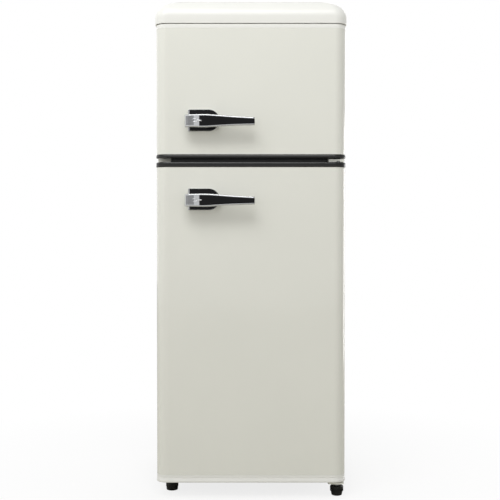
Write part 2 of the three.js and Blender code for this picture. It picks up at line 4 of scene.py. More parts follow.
import bmesh
import bpy
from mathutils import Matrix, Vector


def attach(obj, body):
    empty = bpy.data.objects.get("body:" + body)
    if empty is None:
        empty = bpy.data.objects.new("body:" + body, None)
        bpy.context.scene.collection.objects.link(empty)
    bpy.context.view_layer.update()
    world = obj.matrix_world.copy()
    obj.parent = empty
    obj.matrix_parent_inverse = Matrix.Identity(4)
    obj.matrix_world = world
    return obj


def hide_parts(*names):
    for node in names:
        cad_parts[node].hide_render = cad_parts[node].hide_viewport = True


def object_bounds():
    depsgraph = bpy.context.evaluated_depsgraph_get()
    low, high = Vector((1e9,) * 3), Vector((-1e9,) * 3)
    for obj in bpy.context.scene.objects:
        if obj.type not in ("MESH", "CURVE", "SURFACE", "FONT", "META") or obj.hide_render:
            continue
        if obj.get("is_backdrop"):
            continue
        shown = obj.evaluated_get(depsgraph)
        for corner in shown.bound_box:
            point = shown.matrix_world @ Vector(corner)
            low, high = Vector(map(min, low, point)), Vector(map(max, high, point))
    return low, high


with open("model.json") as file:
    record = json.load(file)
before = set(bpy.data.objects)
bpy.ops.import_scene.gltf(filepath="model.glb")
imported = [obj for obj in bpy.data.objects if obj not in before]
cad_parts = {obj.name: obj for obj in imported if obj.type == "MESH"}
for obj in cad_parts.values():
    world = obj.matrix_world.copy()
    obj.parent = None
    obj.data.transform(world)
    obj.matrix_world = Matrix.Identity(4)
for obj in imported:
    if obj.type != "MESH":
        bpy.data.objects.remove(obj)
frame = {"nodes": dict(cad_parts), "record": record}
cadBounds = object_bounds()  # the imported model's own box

scene = bpy.context.scene
mm = 0.001
print("frame loaded:", len(frame["nodes"]), "nodes")


def arc(cx, cy, radius, start, end, steps):
    # points of an arc, angles in degrees
    points = []
    for i in range(steps + 1):
        angle = math.radians(start + (end - start) * i / steps)
        points.append((cx + radius * math.cos(angle), cy + radius * math.sin(angle)))
    return points


def roundedRect(a0, a1, b0, b1, radius, steps=8):
    r = max(radius, 0.0001)
    return (arc(a1 - r, b0 + r, r, -90, 0, steps) + arc(a1 - r, b1 - r, r, 0, 90, steps)
            + arc(a0 + r, b1 - r, r, 90, 180, steps) + arc(a0 + r, b0 + r, r, 180, 270, steps))


def newObject(name, verts, faces):
    # verts are given in millimetres, the scene is in metres
    mesh = bpy.data.meshes.new(name)
    mesh.from_pydata([(x * mm, y * mm, z * mm) for x, y, z in verts], [], faces)
    obj = bpy.data.objects.new(name, mesh)
    scene.collection.objects.link(obj)
    return obj


def loft(name, rings, closeEnds=True, ringLoop=False):
    # rings hold equally many points each and are joined one to the next
    count = len(rings[0])
    verts = [p for ring in rings for p in ring]
    faces = []
    spans = len(rings) if ringLoop else len(rings) - 1
    for i in range(spans):
        a, b = i * count, ((i + 1) % len(rings)) * count
        for j in range(count):
            k = (j + 1) % count
            faces.append((a + j, a + k, b + k, b + j))
    if closeEnds:
        faces.append(tuple(reversed(range(count))))
        faces.append(tuple(range((len(rings) - 1) * count, len(rings) * count)))
    obj = newObject(name, verts, faces)
    tidyMesh(obj)
    return obj


def prism(name, outline, low, high, axis="z"):
    # an outline pushed along an axis: z takes (x, y), y takes (x, z), x takes (y, z)
    place = {"z": lambda p, d: (p[0], p[1], d), "y": lambda p, d: (p[0], d, p[1]),
             "x": lambda p, d: (d, p[0], p[1])}[axis]
    return loft(name, [[place(p, d) for p in outline] for d in (low, high)])


def cube(name, low, high):
    return prism(name, [(low[0], low[1]), (high[0], low[1]), (high[0], high[1]), (low[0], high[1])],
                 low[2], high[2])


def lathe(name, profile, x, y, axis="z", steps=48):
    # a profile of (radius, height) turned about an axis through x and y (or x and z for axis y)
    rings = []
    for radius, height in profile:
        ring = []
        for j in range(steps):
            angle = 2 * math.pi * j / steps
            a, b = radius * math.cos(angle), radius * math.sin(angle)
            ring.append((x + a, y + b, height) if axis == "z" else (x + a, height, y + b))
        rings.append(ring)
    return loft(name, rings)


def tidyMesh(obj):
    # merges doubled points and turns every face outwards
    bm = bmesh.new()
    bm.from_mesh(obj.data)
    bmesh.ops.remove_doubles(bm, verts=bm.verts, dist=0.00001)
    bmesh.ops.dissolve_degenerate(bm, edges=bm.edges, dist=0.000001)
    bmesh.ops.recalc_face_normals(bm, faces=bm.faces)
    bm.to_mesh(obj.data)
    bm.free()


def bakeModifiers(obj):
    # the evaluated mesh becomes the object's own
    bpy.context.view_layer.update()
    graph = bpy.context.evaluated_depsgraph_get()
    mesh = bpy.data.meshes.new_from_object(obj.evaluated_get(graph), preserve_all_data_layers=True,
                                           depsgraph=graph)
    old = obj.data
    obj.modifiers.clear()
    obj.data = mesh
    mesh.name = obj.name
    if old.users == 0:
        bpy.data.meshes.remove(old)


def boolean(obj, tool, operation="DIFFERENCE"):
    step = obj.modifiers.new(operation, "BOOLEAN")
    step.operation = operation
    step.solver = "EXACT"
    step.object = tool
    bakeModifiers(obj)
    bpy.data.objects.remove(tool)
    tidyMesh(obj)


def drill(obj, radius, low, high, x, y, axis="z"):
    boolean(obj, lathe("bore", [(radius, low), (radius, high)], x, y, axis, 32))


def roundEdges(obj, width, segments=2, angle=50):
    step = obj.modifiers.new("bevel", "BEVEL")
    step.width = width * mm
    step.segments = segments
    step.limit_method = "ANGLE"
    step.angle_limit = math.radians(angle)
    step.use_clamp_overlap = True
    bakeModifiers(obj)
    return obj


def joinInto(obj, others):
    bm = bmesh.new()
    for part in [obj] + list(others):
        bm.from_mesh(part.data)
    bm.to_mesh(obj.data)
    bm.free()
    for part in others:
        bpy.data.objects.remove(part)
    return obj


def merged(name, parts):
    obj = joinInto(parts[0], parts[1:])
    obj.name = obj.data.name = name
    return obj


def finishPiece(obj, body, material, replaced=(), smooth=40, weighted=True):
    obj.data.materials.clear()
    obj.data.materials.append(material)
    for face in obj.data.polygons:
        face.material_index = 0
    obj.data.shade_smooth()
    obj.data.set_sharp_from_angle(angle=math.radians(smooth))
    if weighted:
        step = obj.modifiers.new("normals", "WEIGHTED_NORMAL")
        step.keep_sharp = True
        step.weight = 80
        bakeModifiers(obj)
    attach(obj, body)
    if replaced:
        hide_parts(*replaced)
    return obj


def addNode(tree, kind, inputs=None, **settings):
    # each input is given a value, or the output socket that feeds it
    node = tree.nodes.new(kind)
    for key, value in settings.items():
        setattr(node, key, value)
    for key, value in (inputs or {}).items():
        if isinstance(value, bpy.types.NodeSocket):
            tree.links.new(value, node.inputs[key])
        else:
            node.inputs[key].default_value = value
    return node


def newTree(name, inputs):
    # an empty Geometry Nodes tree with named inputs, the inputs' identifiers and their sockets
    tree = bpy.data.node_groups.new(name, "GeometryNodeTree")
    tree.is_modifier = True
    tree.interface.new_socket(name="Geometry", in_out="INPUT", socket_type="NodeSocketGeometry")
    tree.interface.new_socket(name="Geometry", in_out="OUTPUT", socket_type="NodeSocketGeometry")
    idents = {}
    for label, kind in {**inputs, "Material": "Material"}.items():
        socket = tree.interface.new_socket(name=label, in_out="INPUT", socket_type="NodeSocket" + kind)
        idents[label] = socket.identifier
    return tree, idents, addNode(tree, "NodeGroupInput").outputs


def endTree(tree, geometry, given):
    real = addNode(tree, "GeometryNodeRealizeInstances", {0: geometry})
    paint = addNode(tree, "GeometryNodeSetMaterial", {
        "Geometry": real.outputs[0], "Material": given["Material"]})
    addNode(tree, "NodeGroupOutput", {0: paint.outputs[0]})


def runTree(name, points, edges, treeAndIdents, values):
    # runs a tree on a mesh of points and edges, and leaves the result as a plain mesh
    tree, idents = treeAndIdents
    obj = newObject(name, points, [])
    obj.data.edges.add(len(edges))
    obj.data.edges.foreach_set("vertices", [i for edge in edges for i in edge])
    step = obj.modifiers.new("nodes", "NODES")
    step.node_group = tree
    for label, value in values.items():
        step[idents[label]] = value
    bakeModifiers(obj)
    return obj


def sweepCircle(tree, curve, sides, radius):
    ring = addNode(tree, "GeometryNodeCurvePrimitiveCircle", {"Resolution": sides, "Radius": radius})
    return addNode(tree, "GeometryNodeCurveToMesh", {
        "Curve": curve, "Profile Curve": ring.outputs["Curve"], "Fill Caps": True}).outputs[0]


def pipeTree():
    # a round tube along a line of points, with its corners bent to a radius
    tree, idents, given = newTree("pipe", {
        "Tube radius": "Float", "Bend radius": "Float", "Bend steps": "Int", "Sides": "Int"})
    curve = addNode(tree, "GeometryNodeMeshToCurve", {0: given["Geometry"]})
    fillet = addNode(tree, "GeometryNodeFilletCurve", {
        "Curve": curve.outputs[0], "Count": given["Bend steps"], "Radius": given["Bend radius"],
        "Limit Radius": True}, mode="POLY")
    endTree(tree, sweepCircle(tree, fillet.outputs[0], given["Sides"], given["Tube radius"]), given)
    return tree, idents


def wireTree():
    # a row of straight wires, each Step away from the last
    tree, idents, given = newTree("wires", {
        "Count": "Int", "First": "Vector", "Step": "Vector", "Wire": "Vector", "Wire radius": "Float"})
    row = addNode(tree, "GeometryNodeMeshLine", {
        "Count": given["Count"], "Start Location": given["First"], "Offset": given["Step"]}, mode="OFFSET")
    wire = addNode(tree, "GeometryNodeCurvePrimitiveLine", {"End": given["Wire"]})
    place = addNode(tree, "GeometryNodeInstanceOnPoints", {
        "Points": row.outputs[0], "Instance": wire.outputs[0]})
    real = addNode(tree, "GeometryNodeRealizeInstances", {0: place.outputs[0]})
    endTree(tree, sweepCircle(tree, real.outputs[0], 8, given["Wire radius"]), given)
    return tree, idents


def screwTree():
    # a domed screw head with a cross recess on every point, each turned by a seeded angle
    tree, idents, given = newTree("screws", {
        "Head radius": "Float", "Head height": "Float", "Facing": "Vector", "Seed": "Int"})
    recess = {"length": 1.15, "width": 0.24, "height": 1.2, "lift": 1.05}  # in head radii and head heights
    length, width, height = recess["length"], recess["width"], recess["height"]
    ball = addNode(tree, "GeometryNodeMeshUVSphere", {"Segments": 20, "Rings": 10, "Radius": 1.0})
    size = addNode(tree, "ShaderNodeCombineXYZ", {
        0: given["Head radius"], 1: given["Head radius"], 2: given["Head height"]})
    head = addNode(tree, "GeometryNodeTransform", {"Geometry": ball.outputs["Mesh"], "Scale": size.outputs[0]})
    cut = addNode(tree, "GeometryNodeMeshBoolean", {0: head.outputs[0]}, operation="DIFFERENCE")
    for shape in ((length, width, height), (width, length, height)):
        bar = addNode(tree, "GeometryNodeMeshCube", {"Size": shape})
        lift = addNode(tree, "GeometryNodeTransform", {
            "Geometry": bar.outputs["Mesh"], "Translation": (0, 0, recess["lift"])})
        fit = addNode(tree, "GeometryNodeTransform", {"Geometry": lift.outputs[0], "Scale": size.outputs[0]})
        tree.links.new(fit.outputs[0], cut.inputs[1])
    place = addNode(tree, "GeometryNodeInstanceOnPoints", {
        "Points": given["Geometry"], "Instance": cut.outputs[0], "Rotation": given["Facing"]})
    chance = addNode(tree, "FunctionNodeRandomValue", {3: 1.57, "Seed": given["Seed"]}, data_type="FLOAT")
    turn = addNode(tree, "ShaderNodeCombineXYZ", {2: chance.outputs[1]})
    spin = addNode(tree, "GeometryNodeRotateInstances", {
        "Instances": place.outputs[0], "Rotation": turn.outputs[0], "Local Space": True})
    endTree(tree, spin.outputs[0], given)
    return tree, idents


def ribTree():
    # small blocks in a ring about an axis, standing on edge all round
    tree, idents, given = newTree("ribs", {
        "Count": "Int", "Ring radius": "Float", "Rib size": "Vector", "Centre": "Vector", "Turn": "Vector"})
    ring = addNode(tree, "GeometryNodeMeshCircle", {"Vertices": given["Count"], "Radius": given["Ring radius"]})
    bar = addNode(tree, "GeometryNodeMeshCube", {"Size": given["Rib size"]})
    index = addNode(tree, "GeometryNodeInputIndex")
    share = addNode(tree, "ShaderNodeMath", {0: index.outputs[0], 1: given["Count"]}, operation="DIVIDE")
    angle = addNode(tree, "ShaderNodeMath", {0: share.outputs[0], 1: 2 * math.pi}, operation="MULTIPLY")
    turn = addNode(tree, "ShaderNodeCombineXYZ", {2: angle.outputs[0]})
    place = addNode(tree, "GeometryNodeInstanceOnPoints", {
        "Points": ring.outputs[0], "Instance": bar.outputs["Mesh"], "Rotation": turn.outputs[0]})
    move = addNode(tree, "GeometryNodeTransform", {
        "Geometry": place.outputs[0], "Translation": given["Centre"], "Rotation": given["Turn"]})
    endTree(tree, move.outputs[0], given)
    return tree, idents


pipes, wires, screws, ribs = pipeTree(), wireTree(), screwTree(), ribTree()


def principled(name, color, roughness, metallic=0.0, **sockets):
    material = bpy.data.materials.new(name)
    material.use_nodes = True
    shader = material.node_tree.nodes["Principled BSDF"]
    shader.inputs["Base Color"].default_value = (*color, 1)
    shader.inputs["Roughness"].default_value = roughness
    shader.inputs["Metallic"].default_value = metallic
    for key, value in sockets.items():
        shader.inputs[key.replace("_", " ")].default_value = value
    return material, material.node_tree, shader


def objectNoise(tree, scale, detail=3.0, stretch=(1, 1, 1), roughness=0.5):
    # noise on Object coordinates, with the pattern stretched along an axis where it is less than one
    place = addNode(tree, "ShaderNodeTexCoord")
    fit = addNode(tree, "ShaderNodeMapping", {0: place.outputs["Object"], "Scale": stretch})
    return addNode(tree, "ShaderNodeTexNoise", {
        "Vector": fit.outputs[0], "Scale": scale, "Detail": detail, "Roughness": roughness}).outputs["Fac"]


def objectCells(tree, scale):
    place = addNode(tree, "ShaderNodeTexCoord")
    return addNode(tree, "ShaderNodeTexVoronoi", {"Vector": place.outputs["Object"], "Scale": scale}).outputs


def ranged(tree, value, low, high, fromLow=0.3, fromHigh=0.7):
    return addNode(tree, "ShaderNodeMapRange", {0: value, 1: fromLow, 2: fromHigh, 3: low, 4: high}).outputs[0]


def tinted(tree, shader, factor, color, tint):
    # the colour drifts to its tint with the factor
    mix = addNode(tree, "ShaderNodeMix", {0: factor, 6: (*color, 1), 7: (*tint, 1)}, data_type="RGBA")
    tree.links.new(mix.outputs[2], shader.inputs["Base Color"])


def clouded(tree, shader, noise, color, tint):
    tinted(tree, shader, ranged(tree, noise, 0, 1), color, tint)


def uneven(tree, shader, noise, low, high, **span):
    tree.links.new(ranged(tree, noise, low, high, **span), shader.inputs["Roughness"])


def addBump(tree, shader, *layers):
    # layers of (height socket, distance in metres), one bump laid on another
    last = None
    for height, distance in layers:
        under = {"Normal": last} if last else {}
        last = addNode(tree, "ShaderNodeBump", {
            "Strength": 1.0, "Distance": distance, "Height": height, **under}).outputs[0]
    tree.links.new(last, shader.inputs["Normal"])


def enamel(name, color, tint, rough, coat):
    # baked paint on steel: faint cloudiness in the colour, fine orange peel under a clear gloss
    material, tree, shader = principled(name, color, rough, Coat_Weight=coat, Coat_Roughness=0.06)
    clouded(tree, shader, objectNoise(tree, 5.0, 4), color, tint)
    uneven(tree, shader, objectNoise(tree, 30.0), rough - 0.03, rough + 0.05)
    addBump(tree, shader, (objectNoise(tree, 3.2, 1), 0.0006), (objectNoise(tree, 700.0, 2), 0.000012))
    return material


def moulded(name, color, tint, rough, grain=0.00003, **sockets):
    # moulded plastic: slight flow marks in the colour and a fine grain
    material, tree, shader = principled(name, color, rough, **sockets)
    clouded(tree, shader, objectNoise(tree, 9.0, 3, (1, 1, 0.4)), color, tint)
    uneven(tree, shader, objectNoise(tree, 60.0), rough - 0.02, rough + 0.03)
    addBump(tree, shader, (objectNoise(tree, 1400.0, 2), grain))
    return material


def metal(name, color, tint, rough, spread, stretch=(1, 1, 1), scale=200.0, depth=0.00001):
    # plated or rolled metal: streaks in the roughness and the finest surface waves
    material, tree, shader = principled(name, color, rough, 1.0)
    streak = objectNoise(tree, scale, 4, stretch, 0.6)
    clouded(tree, shader, objectNoise(tree, 14.0), color, tint)
    uneven(tree, shader, streak, rough - spread, rough + spread)
    addBump(tree, shader, (streak, depth))
    return material


def clearPlastic(name, color, rough, ior, tint):
    material, tree, shader = principled(name, color, rough, Transmission_Weight=0.92, IOR=ior)
    clouded(tree, shader, objectNoise(tree, 12.0, 2, (1, 1, 0.3)), color, tint)
    addBump(tree, shader, (objectNoise(tree, 25.0, 2), 0.00015))
    return material


def galvanised(name):
    # zinc coated sheet with its flakes of different grey
    material, tree, shader = principled(name, (0.52, 0.54, 0.55), 0.42, 0.9)
    grey = addNode(tree, "ShaderNodeSeparateColor", {0: objectCells(tree, 90.0)["Color"]})
    tinted(tree, shader, grey.outputs[0], (0.42, 0.44, 0.45), (0.62, 0.63, 0.63))
    uneven(tree, shader, grey.outputs[1], 0.32, 0.5, fromLow=0, fromHigh=1)
    addBump(tree, shader, (objectNoise(tree, 300.0, 3), 0.00002))
    return material


def foamed(name):
    # set insulation foam with small cells
    material, tree, shader = principled(name, (0.78, 0.62, 0.33), 0.9)
    clouded(tree, shader, objectNoise(tree, 20.0), (0.80, 0.65, 0.36), (0.68, 0.50, 0.24))
    addBump(tree, shader, (objectCells(tree, 600.0)["Distance"], 0.0004))
    return material


cream = enamel("creamEnamel", (0.800, 0.803, 0.740), (0.785, 0.789, 0.726), 0.22, 0.4)
creamCap = moulded("creamPlastic", (0.850, 0.852, 0.814), (0.838, 0.840, 0.801), 0.30, 0.00001)
blackTrim = moulded("blackTrim", (0.004, 0.004, 0.004), (0.007, 0.007, 0.006), 0.22, 0.00001)
blackPanel = moulded("blackPanel", (0.0030, 0.0030, 0.0036), (0.005, 0.005, 0.006), 0.14, 0.000005,
                      Specular_IOR_Level=0.18)
chrome = metal("chromePlate", (0.64, 0.65, 0.66), (0.59, 0.60, 0.61), 0.10, 0.025, scale=60.0, depth=0.000004)
footPlastic = moulded("footPlastic", (0.006, 0.006, 0.0055), (0.010, 0.010, 0.009), 0.48, 0.00006,
                      Specular_IOR_Level=0.3)
blackPaint = moulded("blackPaint", (0.011, 0.011, 0.012), (0.019, 0.019, 0.019), 0.35, 0.00002)
zinc = galvanised("zincSteel")
boltSteel = metal("boltSteel", (0.60, 0.60, 0.60), (0.48, 0.48, 0.50), 0.28, 0.08, (1, 1, 6), 300.0)
whitePlastic = moulded("whitePlastic", (0.82, 0.83, 0.82), (0.80, 0.81, 0.80), 0.30, 0.00001)
whiteWire = moulded("whiteWire", (0.80, 0.81, 0.80), (0.76, 0.77, 0.76), 0.28, 0.00001)
clear = clearPlastic("clearPlastic", (0.86, 0.93, 0.95), 0.06, 1.5, (0.82, 0.90, 0.93))
glass = clearPlastic("shelfGlass", (0.84, 0.95, 0.91), 0.02, 1.5, (0.82, 0.94, 0.90))
foam = foamed("insulationFoam")
copper = metal("copperTube", (0.80, 0.42, 0.27), (0.55, 0.27, 0.16), 0.26, 0.08, (1, 1, 1), 90.0)
aluminium = metal("aluminiumSheet", (0.72, 0.73, 0.74), (0.66, 0.67, 0.68), 0.32, 0.06, (0.1, 1, 1), 400.0)
sealRubber = moulded("sealRubber", (0.60, 0.60, 0.57), (0.54, 0.54, 0.51), 0.55, 0.00005)
lampPlastic = clearPlastic("lampLens", (0.95, 0.95, 0.90), 0.35, 1.49, (0.92, 0.92, 0.86))
print("materials made")

slotMaterials = {
    "cream_enamel": cream, "cream_plastic": creamCap, "black_trim": blackTrim, "chrome": chrome,
    "black_plastic": footPlastic, "black_paint": blackPaint, "zinc_steel": zinc,
    "white_plastic": whitePlastic, "clear_plastic": clear, "shelf_glass": glass, "white_wire": whiteWire,
    "foam": foam, "copper": copper, "aluminium": aluminium, "seal_rubber": sealRubber,
}
slotNames = {material.name: slot for slot, material in slotMaterials.items()}
slotNames.update({
    blackPanel.name: "black_trim", boltSteel.name: "zinc_steel", lampPlastic.name: "clear_plastic"})

# every CAD node that stays visible takes the material of its slot
for part in frame["record"]["subparts"]:
    node = frame["nodes"][part["node"]]
    node.data.materials.clear()
    node.data.materials.append(slotMaterials[part["material_slot"]])


def sidePanel(name, node, side):
    # one sheet folded over at the front and at the back, with small bend radii
    size = {"outer": 235, "fold": 203, "backFold": 223, "front": -177, "back": 248, "sheet": 1.2, "bend": 2.2,
            "low": 42, "high": 1175}
    x, y0, y1, t, r = size["outer"], size["front"], size["back"], size["sheet"], size["bend"]
    outer = arc(x - r, y0 + r, r, 270, 360, 5) + arc(x - r, y1 - r, r, 0, 90, 5)
    inner = arc(x - r, y1 - r, r - t, 90, 0, 5) + arc(x - r, y0 + r, r - t, 360, 270, 5)
    outline = ([(size["fold"], y0)] + outer + [(size["backFold"], y1), (size["backFold"], y1 - t)] + inner
               + [(size["fold"], y0 + t)])
    panel = prism(name, [(side * a, b) for a, b in outline], size["low"], size["high"])
    finishPiece(panel, "cabinet", cream, [node])


sidePanel("leftSide", "left_side_panel", -1)
sidePanel("rightSide", "right_side_panel", 1)


lid = {"half": 238, "front": -239.5, "back": 250, "low": 1175.3, "high": 1236, "edge": 45, "corner": 30,
       "wall": 4, "steps": 18}


def lidRing(inset, z, corner):
    return [(x, y, z) for x, y in roundedRect(-lid["half"] + inset, lid["half"] - inset, lid["front"] + inset,
                                              lid["back"] - inset, corner, 12)]


def topCover():
    # a moulded lid with a large soft edge all round and an open underside
    low, high, count = lid["low"], lid["high"], lid["steps"]
    rings = []
    for wall, steps in ((lid["wall"], range(count, -1, -2)), (0, range(count + 1))):
        edge = lid["edge"] - wall
        arcRings = []
        for i in steps:
            a = math.radians(90 * i / count)
            inset = wall + edge * (1 - math.cos(a))
            arcRings.append(lidRing(inset, high - lid["edge"] + edge * math.sin(a),
                                    lid["corner"] - wall + 0.35 * inset))
        if wall:
            rings += arcRings + [lidRing(wall, low, 26), lidRing(0.8, low, 29.4)]
        else:
            rings += [lidRing(0.2, low + 0.3, 29.8), lidRing(0, low + 1, 30)] + arcRings
    finishPiece(loft("topCover", rings), "cabinet", creamCap, ["top_cover"], smooth=50)


topCover()
hingeX, hingeY = 216, -206  # the pins' line


def screwRow(name, points, facing, radius, height, seed):
    row = runTree(name, points, [], screws, {
        "Head radius": radius * mm, "Head height": height * mm, "Facing": facing, "Seed": seed,
        "Material": boltSteel})
    finishPiece(row, "cabinet", boltSteel, smooth=35, weighted=False)


def bentPipe(name, points, radius, bend, steps, sides, material, edges=None):
    edges = edges or [(i, i + 1) for i in range(len(points) - 1)]
    return runTree(name, points, edges, pipes, {
        "Tube radius": radius * mm, "Bend radius": bend * mm, "Bend steps": steps, "Sides": sides,
        "Material": material})


def wireRow(count, first, gap, wire, radius, material):
    first, gap, wire = ([v * mm for v in row] for row in (first, gap, wire))
    return runTree("row", [(0, 0, 0)], [], wires, {
        "Count": count, "First": first, "Step": gap, "Wire": wire, "Wire radius": radius * mm,
        "Material": material})


def ribRing(name, count, radius, size, centre, material, turn=(0, 0, 0)):
    return runTree(name, [(0, 0, 0)], [], ribs, {
        "Count": count, "Ring radius": radius * mm, "Rib size": [v * mm for v in size],
        "Centre": [v * mm for v in centre], "Turn": turn, "Material": material})


forward, backward, upward = (math.pi / 2, 0, 0), (-math.pi / 2, 0, 0), (0, 0, 0)


bracketForm = {"left": 192.5, "tabLeft": 195, "right": 232, "front": -231, "tabFront": -180.5, "face": -177.3,
               "edge": 0.45, "lip": 2.4, "lipLow": 835, "lipHigh": 840}
bracketSizes = {
    "midHinge": {"node": "mid_hinge", "tab": (830, 849.7), "arm": (837.5, 841.5), "hole": 4.3,
                 "lips": ((192.5, 212.5), (220, 231))},
    "bottomHinge": {"node": "bottom_hinge", "tab": (33, 53), "arm": (32.4, 36.5), "hole": 5.4, "lips": ()},
}
lockNut = {"radius": 10.2, "bore": 5.3, "low": 26.3, "high": 32.8}  # six sided, on the right foot's stud


def hinges():
    # pressed brackets: a tab on the cabinet's front face and an arm out to the pin
    form, lipFront = bracketForm, bracketForm["front"] + 0.2
    for name, size in bracketSizes.items():
        low, high = size["arm"]
        tab = roundedRect(form["tabLeft"], form["right"], *size["tab"], 2.5, 4)
        arm = roundedRect(form["left"], form["right"], form["front"], form["face"] - 0.7, 5, 5)
        bracket = prism(name, tab, form["tabFront"], form["face"], "y")
        boolean(bracket, prism("arm", arm, low, high), "UNION")
        for left, right in size["lips"]:
            lip = cube("lip", (left, lipFront, form["lipLow"]),
                       (right, lipFront + form["lip"], form["lipHigh"]))
            boolean(bracket, lip, "UNION")
        drill(bracket, size["hole"], low - 2, high + 2, hingeX, hingeY)
        roundEdges(bracket, form["edge"])
        finishPiece(bracket, "cabinet", cream, [size["node"]])
    # a thin black sheet over the rail's front between the doors: painted shade for the dark gap, not a part of the
    # fridge
    strip = roundEdges(cube("railShadeStrip", (-202, -177.9, 831.5), (194, -177.1, 848.5)), 0.2, 1)
    finishPiece(strip, "cabinet", blackTrim)
    nut = prism("lockNut", arc(hingeX, hingeY, lockNut["radius"], 0, 300, 5), lockNut["low"], lockNut["high"])
    roundEdges(nut, 0.7, angle=30)
    drill(nut, lockNut["bore"], 20, 40, hingeX, hingeY)
    finishPiece(nut, "cabinet", boltSteel)
    holes = [(199.5, -180.4, 845.5), (199.5, -180.4, 834.2), (205, -180.4, 46), (225, -180.4, 46)]
    screwRow("hingeScrews", holes, forward, 3.2, 1.9, 4)


hinges()
print("cabinet and cover made")


door = {"half": 235, "front": -238, "corner": 28, "back": -186, "chamfer": 5, "sheet": 1.2, "seam": 225,
        "fold": 229.4, "flush": 235.4}


def doorOutline(proud):
    x, y, r = door["half"] + proud, door["front"] - proud, door["corner"] + proud
    back, c = door["back"], door["chamfer"]
    return ([(-x + c, back), (-x, back - c)] + arc(-x + r, y + r, r, 180, 270, 16)
            + arc(x - r, y + r, r, 270, 360, 16) + [(x, back - c), (x - c, back)])


def doorSkin(name, node, body, low, high):
    # steel wrapped round the front and sides, with its edges turned in behind
    seam, fold, back, inside = door["seam"], door["fold"], door["back"], door["back"] - door["sheet"]
    outline = ([(-seam, back)] + doorOutline(0) + [(seam, back), (seam, inside), (fold, inside)]
               + doorOutline(-door["sheet"])[-2:0:-1] + [(-fold, inside), (-seam, inside)])
    finishPiece(prism(name, outline, low, high), body, cream, [node])


doorSkin("freezerSkin", "freezer_door_skin", "freezer_door", 853.5, 1163.9)
doorSkin("fridgeSkin", "fridge_door_skin", "fridge_door", 57.3, 821.7)

# profiles are (how proud of the skin, height), low to high; boss and hole take the hinge pin
doorCaps = {
    "freezerTopCap": {
        "node": "freezer_door_top_cap", "body": "freezer_door", "material": creamCap,
        "hole": (1164.6, 1180), "profile": [(0, 1164), (0, 1172.4), (-0.5, 1173.7), (-1.6, 1174.2)]},
    "freezerTrim": {
        "node": "freezer_door_bottom_cap", "body": "freezer_door", "material": blackTrim,
        "boss": (842, 850), "hole": (838, 852.5),
        "profile": [(0.4, 845), (1.2, 845.3), (1.6, 846.1), (1.6, 849.2), (0.4, 851.6), (0.1, 852.9),
                    (-0.5, 853.2)]},
    "fridgeTrim": {
        "node": "fridge_door_top_cap", "body": "fridge_door", "material": blackTrim,
        "hole": (825.2, 838),
        "profile": [(-0.5, 822), (0.1, 822.3), (1.2, 823), (1.6, 824), (1.6, 828.3), (0.8, 828.7), (0.8, 829.2),
                    (1.6, 829.6), (1.6, 831.4), (0.6, 833.4), (-0.2, 834)]},
    "fridgeBottomCap": {
        "node": "fridge_door_bottom_cap", "body": "fridge_door", "material": creamCap,
        "boss": (37.3, 50), "hole": (33, 55.8),
        "profile": [(-1.2, 38.5), (0.6, 38.9), (1.3, 40), (1.4, 43.4), (1.1, 44.5), (0.1, 47.2), (0, 49.8),
                    (-0.3, 50.3), (-0.3, 51.2), (0, 51.7), (0, 57.2)]},
}
for name, size in doorCaps.items():
    flush = door["flush"]
    cap = loft(name, [[(max(-flush, min(flush, x)), y, z) for x, y in doorOutline(proud)]
                      for proud, z in size["profile"]])
    if "boss" in size:
        low, high = size["boss"]
        collar = lathe("collar", [(8.4, low), (9, low + 0.6), (9, high)], hingeX, hingeY, steps=40)
        boolean(cap, collar, "UNION")
    drill(cap, 4.3, *size["hole"], hingeX, hingeY)
    finishPiece(cap, size["body"], size["material"], [size["node"]], smooth=28)


handleBases = {
    "left": -154.5, "middle": -103.5, "half": 26.6, "corner": 1.2,
    # rows of (inset, inset at the left, y), from the door outwards
    "rim": [(0, 0, -238.3), (0, 0, -245.1), (0.2, 0.2, -245.7), (0.5, 0.6, -246), (0.6, 1.2, -245.9),
            (0.65, 1.7, -244.8), (0.7, 2.2, -245.9), (0.8, 2.9, -246), (1.0, 3.3, -245.7), (1.1, 3.5, -244.5)],
    "face": [(1.2, 3.7, -244.6), (1.2, 3.7, -245.4), (1.5, 4.0, -245.7), (2.4, 4.9, -245.85)],
}


def dShape(z, inset, leftInset, y):
    # square at the left, half round at the right
    left, r, c = handleBases["left"] + leftInset, handleBases["half"] - inset, handleBases["corner"]
    points = (arc(left + c, z - r + c, c, 180, 270, 3) + arc(handleBases["middle"], z, r, -90, 90, 32)
              + arc(left + c, z + r - c, c, 90, 180, 3))
    return [(px, y, pz) for px, pz in points]


def handleBase(prefix, node, body, z):
    base = loft(prefix + "BaseRim", [dShape(z, *row) for row in handleBases["rim"]])
    finishPiece(base, body, chrome, [node], smooth=50)
    panel = loft(prefix + "BasePanel", [dShape(z, *row) for row in handleBases["face"]])
    finishPiece(panel, body, blackPanel, smooth=50)


def smoothed(points, x):
    # a smooth line through (x, value) points
    xs, ys = [p[0] for p in points], [p[1] for p in points]
    if x <= xs[0]:
        return ys[0]
    if x >= xs[-1]:
        return ys[-1]
    i = max(k for k in range(len(xs) - 1) if xs[k] <= x)

    def slope(k):
        if k in (0, len(xs) - 1):
            a, b = (0, 1) if k == 0 else (k - 1, k)
            return (ys[b] - ys[a]) / (xs[b] - xs[a])
        return (ys[k + 1] - ys[k - 1]) / (xs[k + 1] - xs[k - 1])

    span = xs[i + 1] - xs[i]
    t = (x - xs[i]) / span
    return ((2 * t ** 3 - 3 * t ** 2 + 1) * ys[i] + (t ** 3 - 2 * t ** 2 + t) * span * slope(i)
            + (3 * t ** 2 - 2 * t ** 3) * ys[i + 1] + (t ** 3 - t ** 2) * span * slope(i + 1))


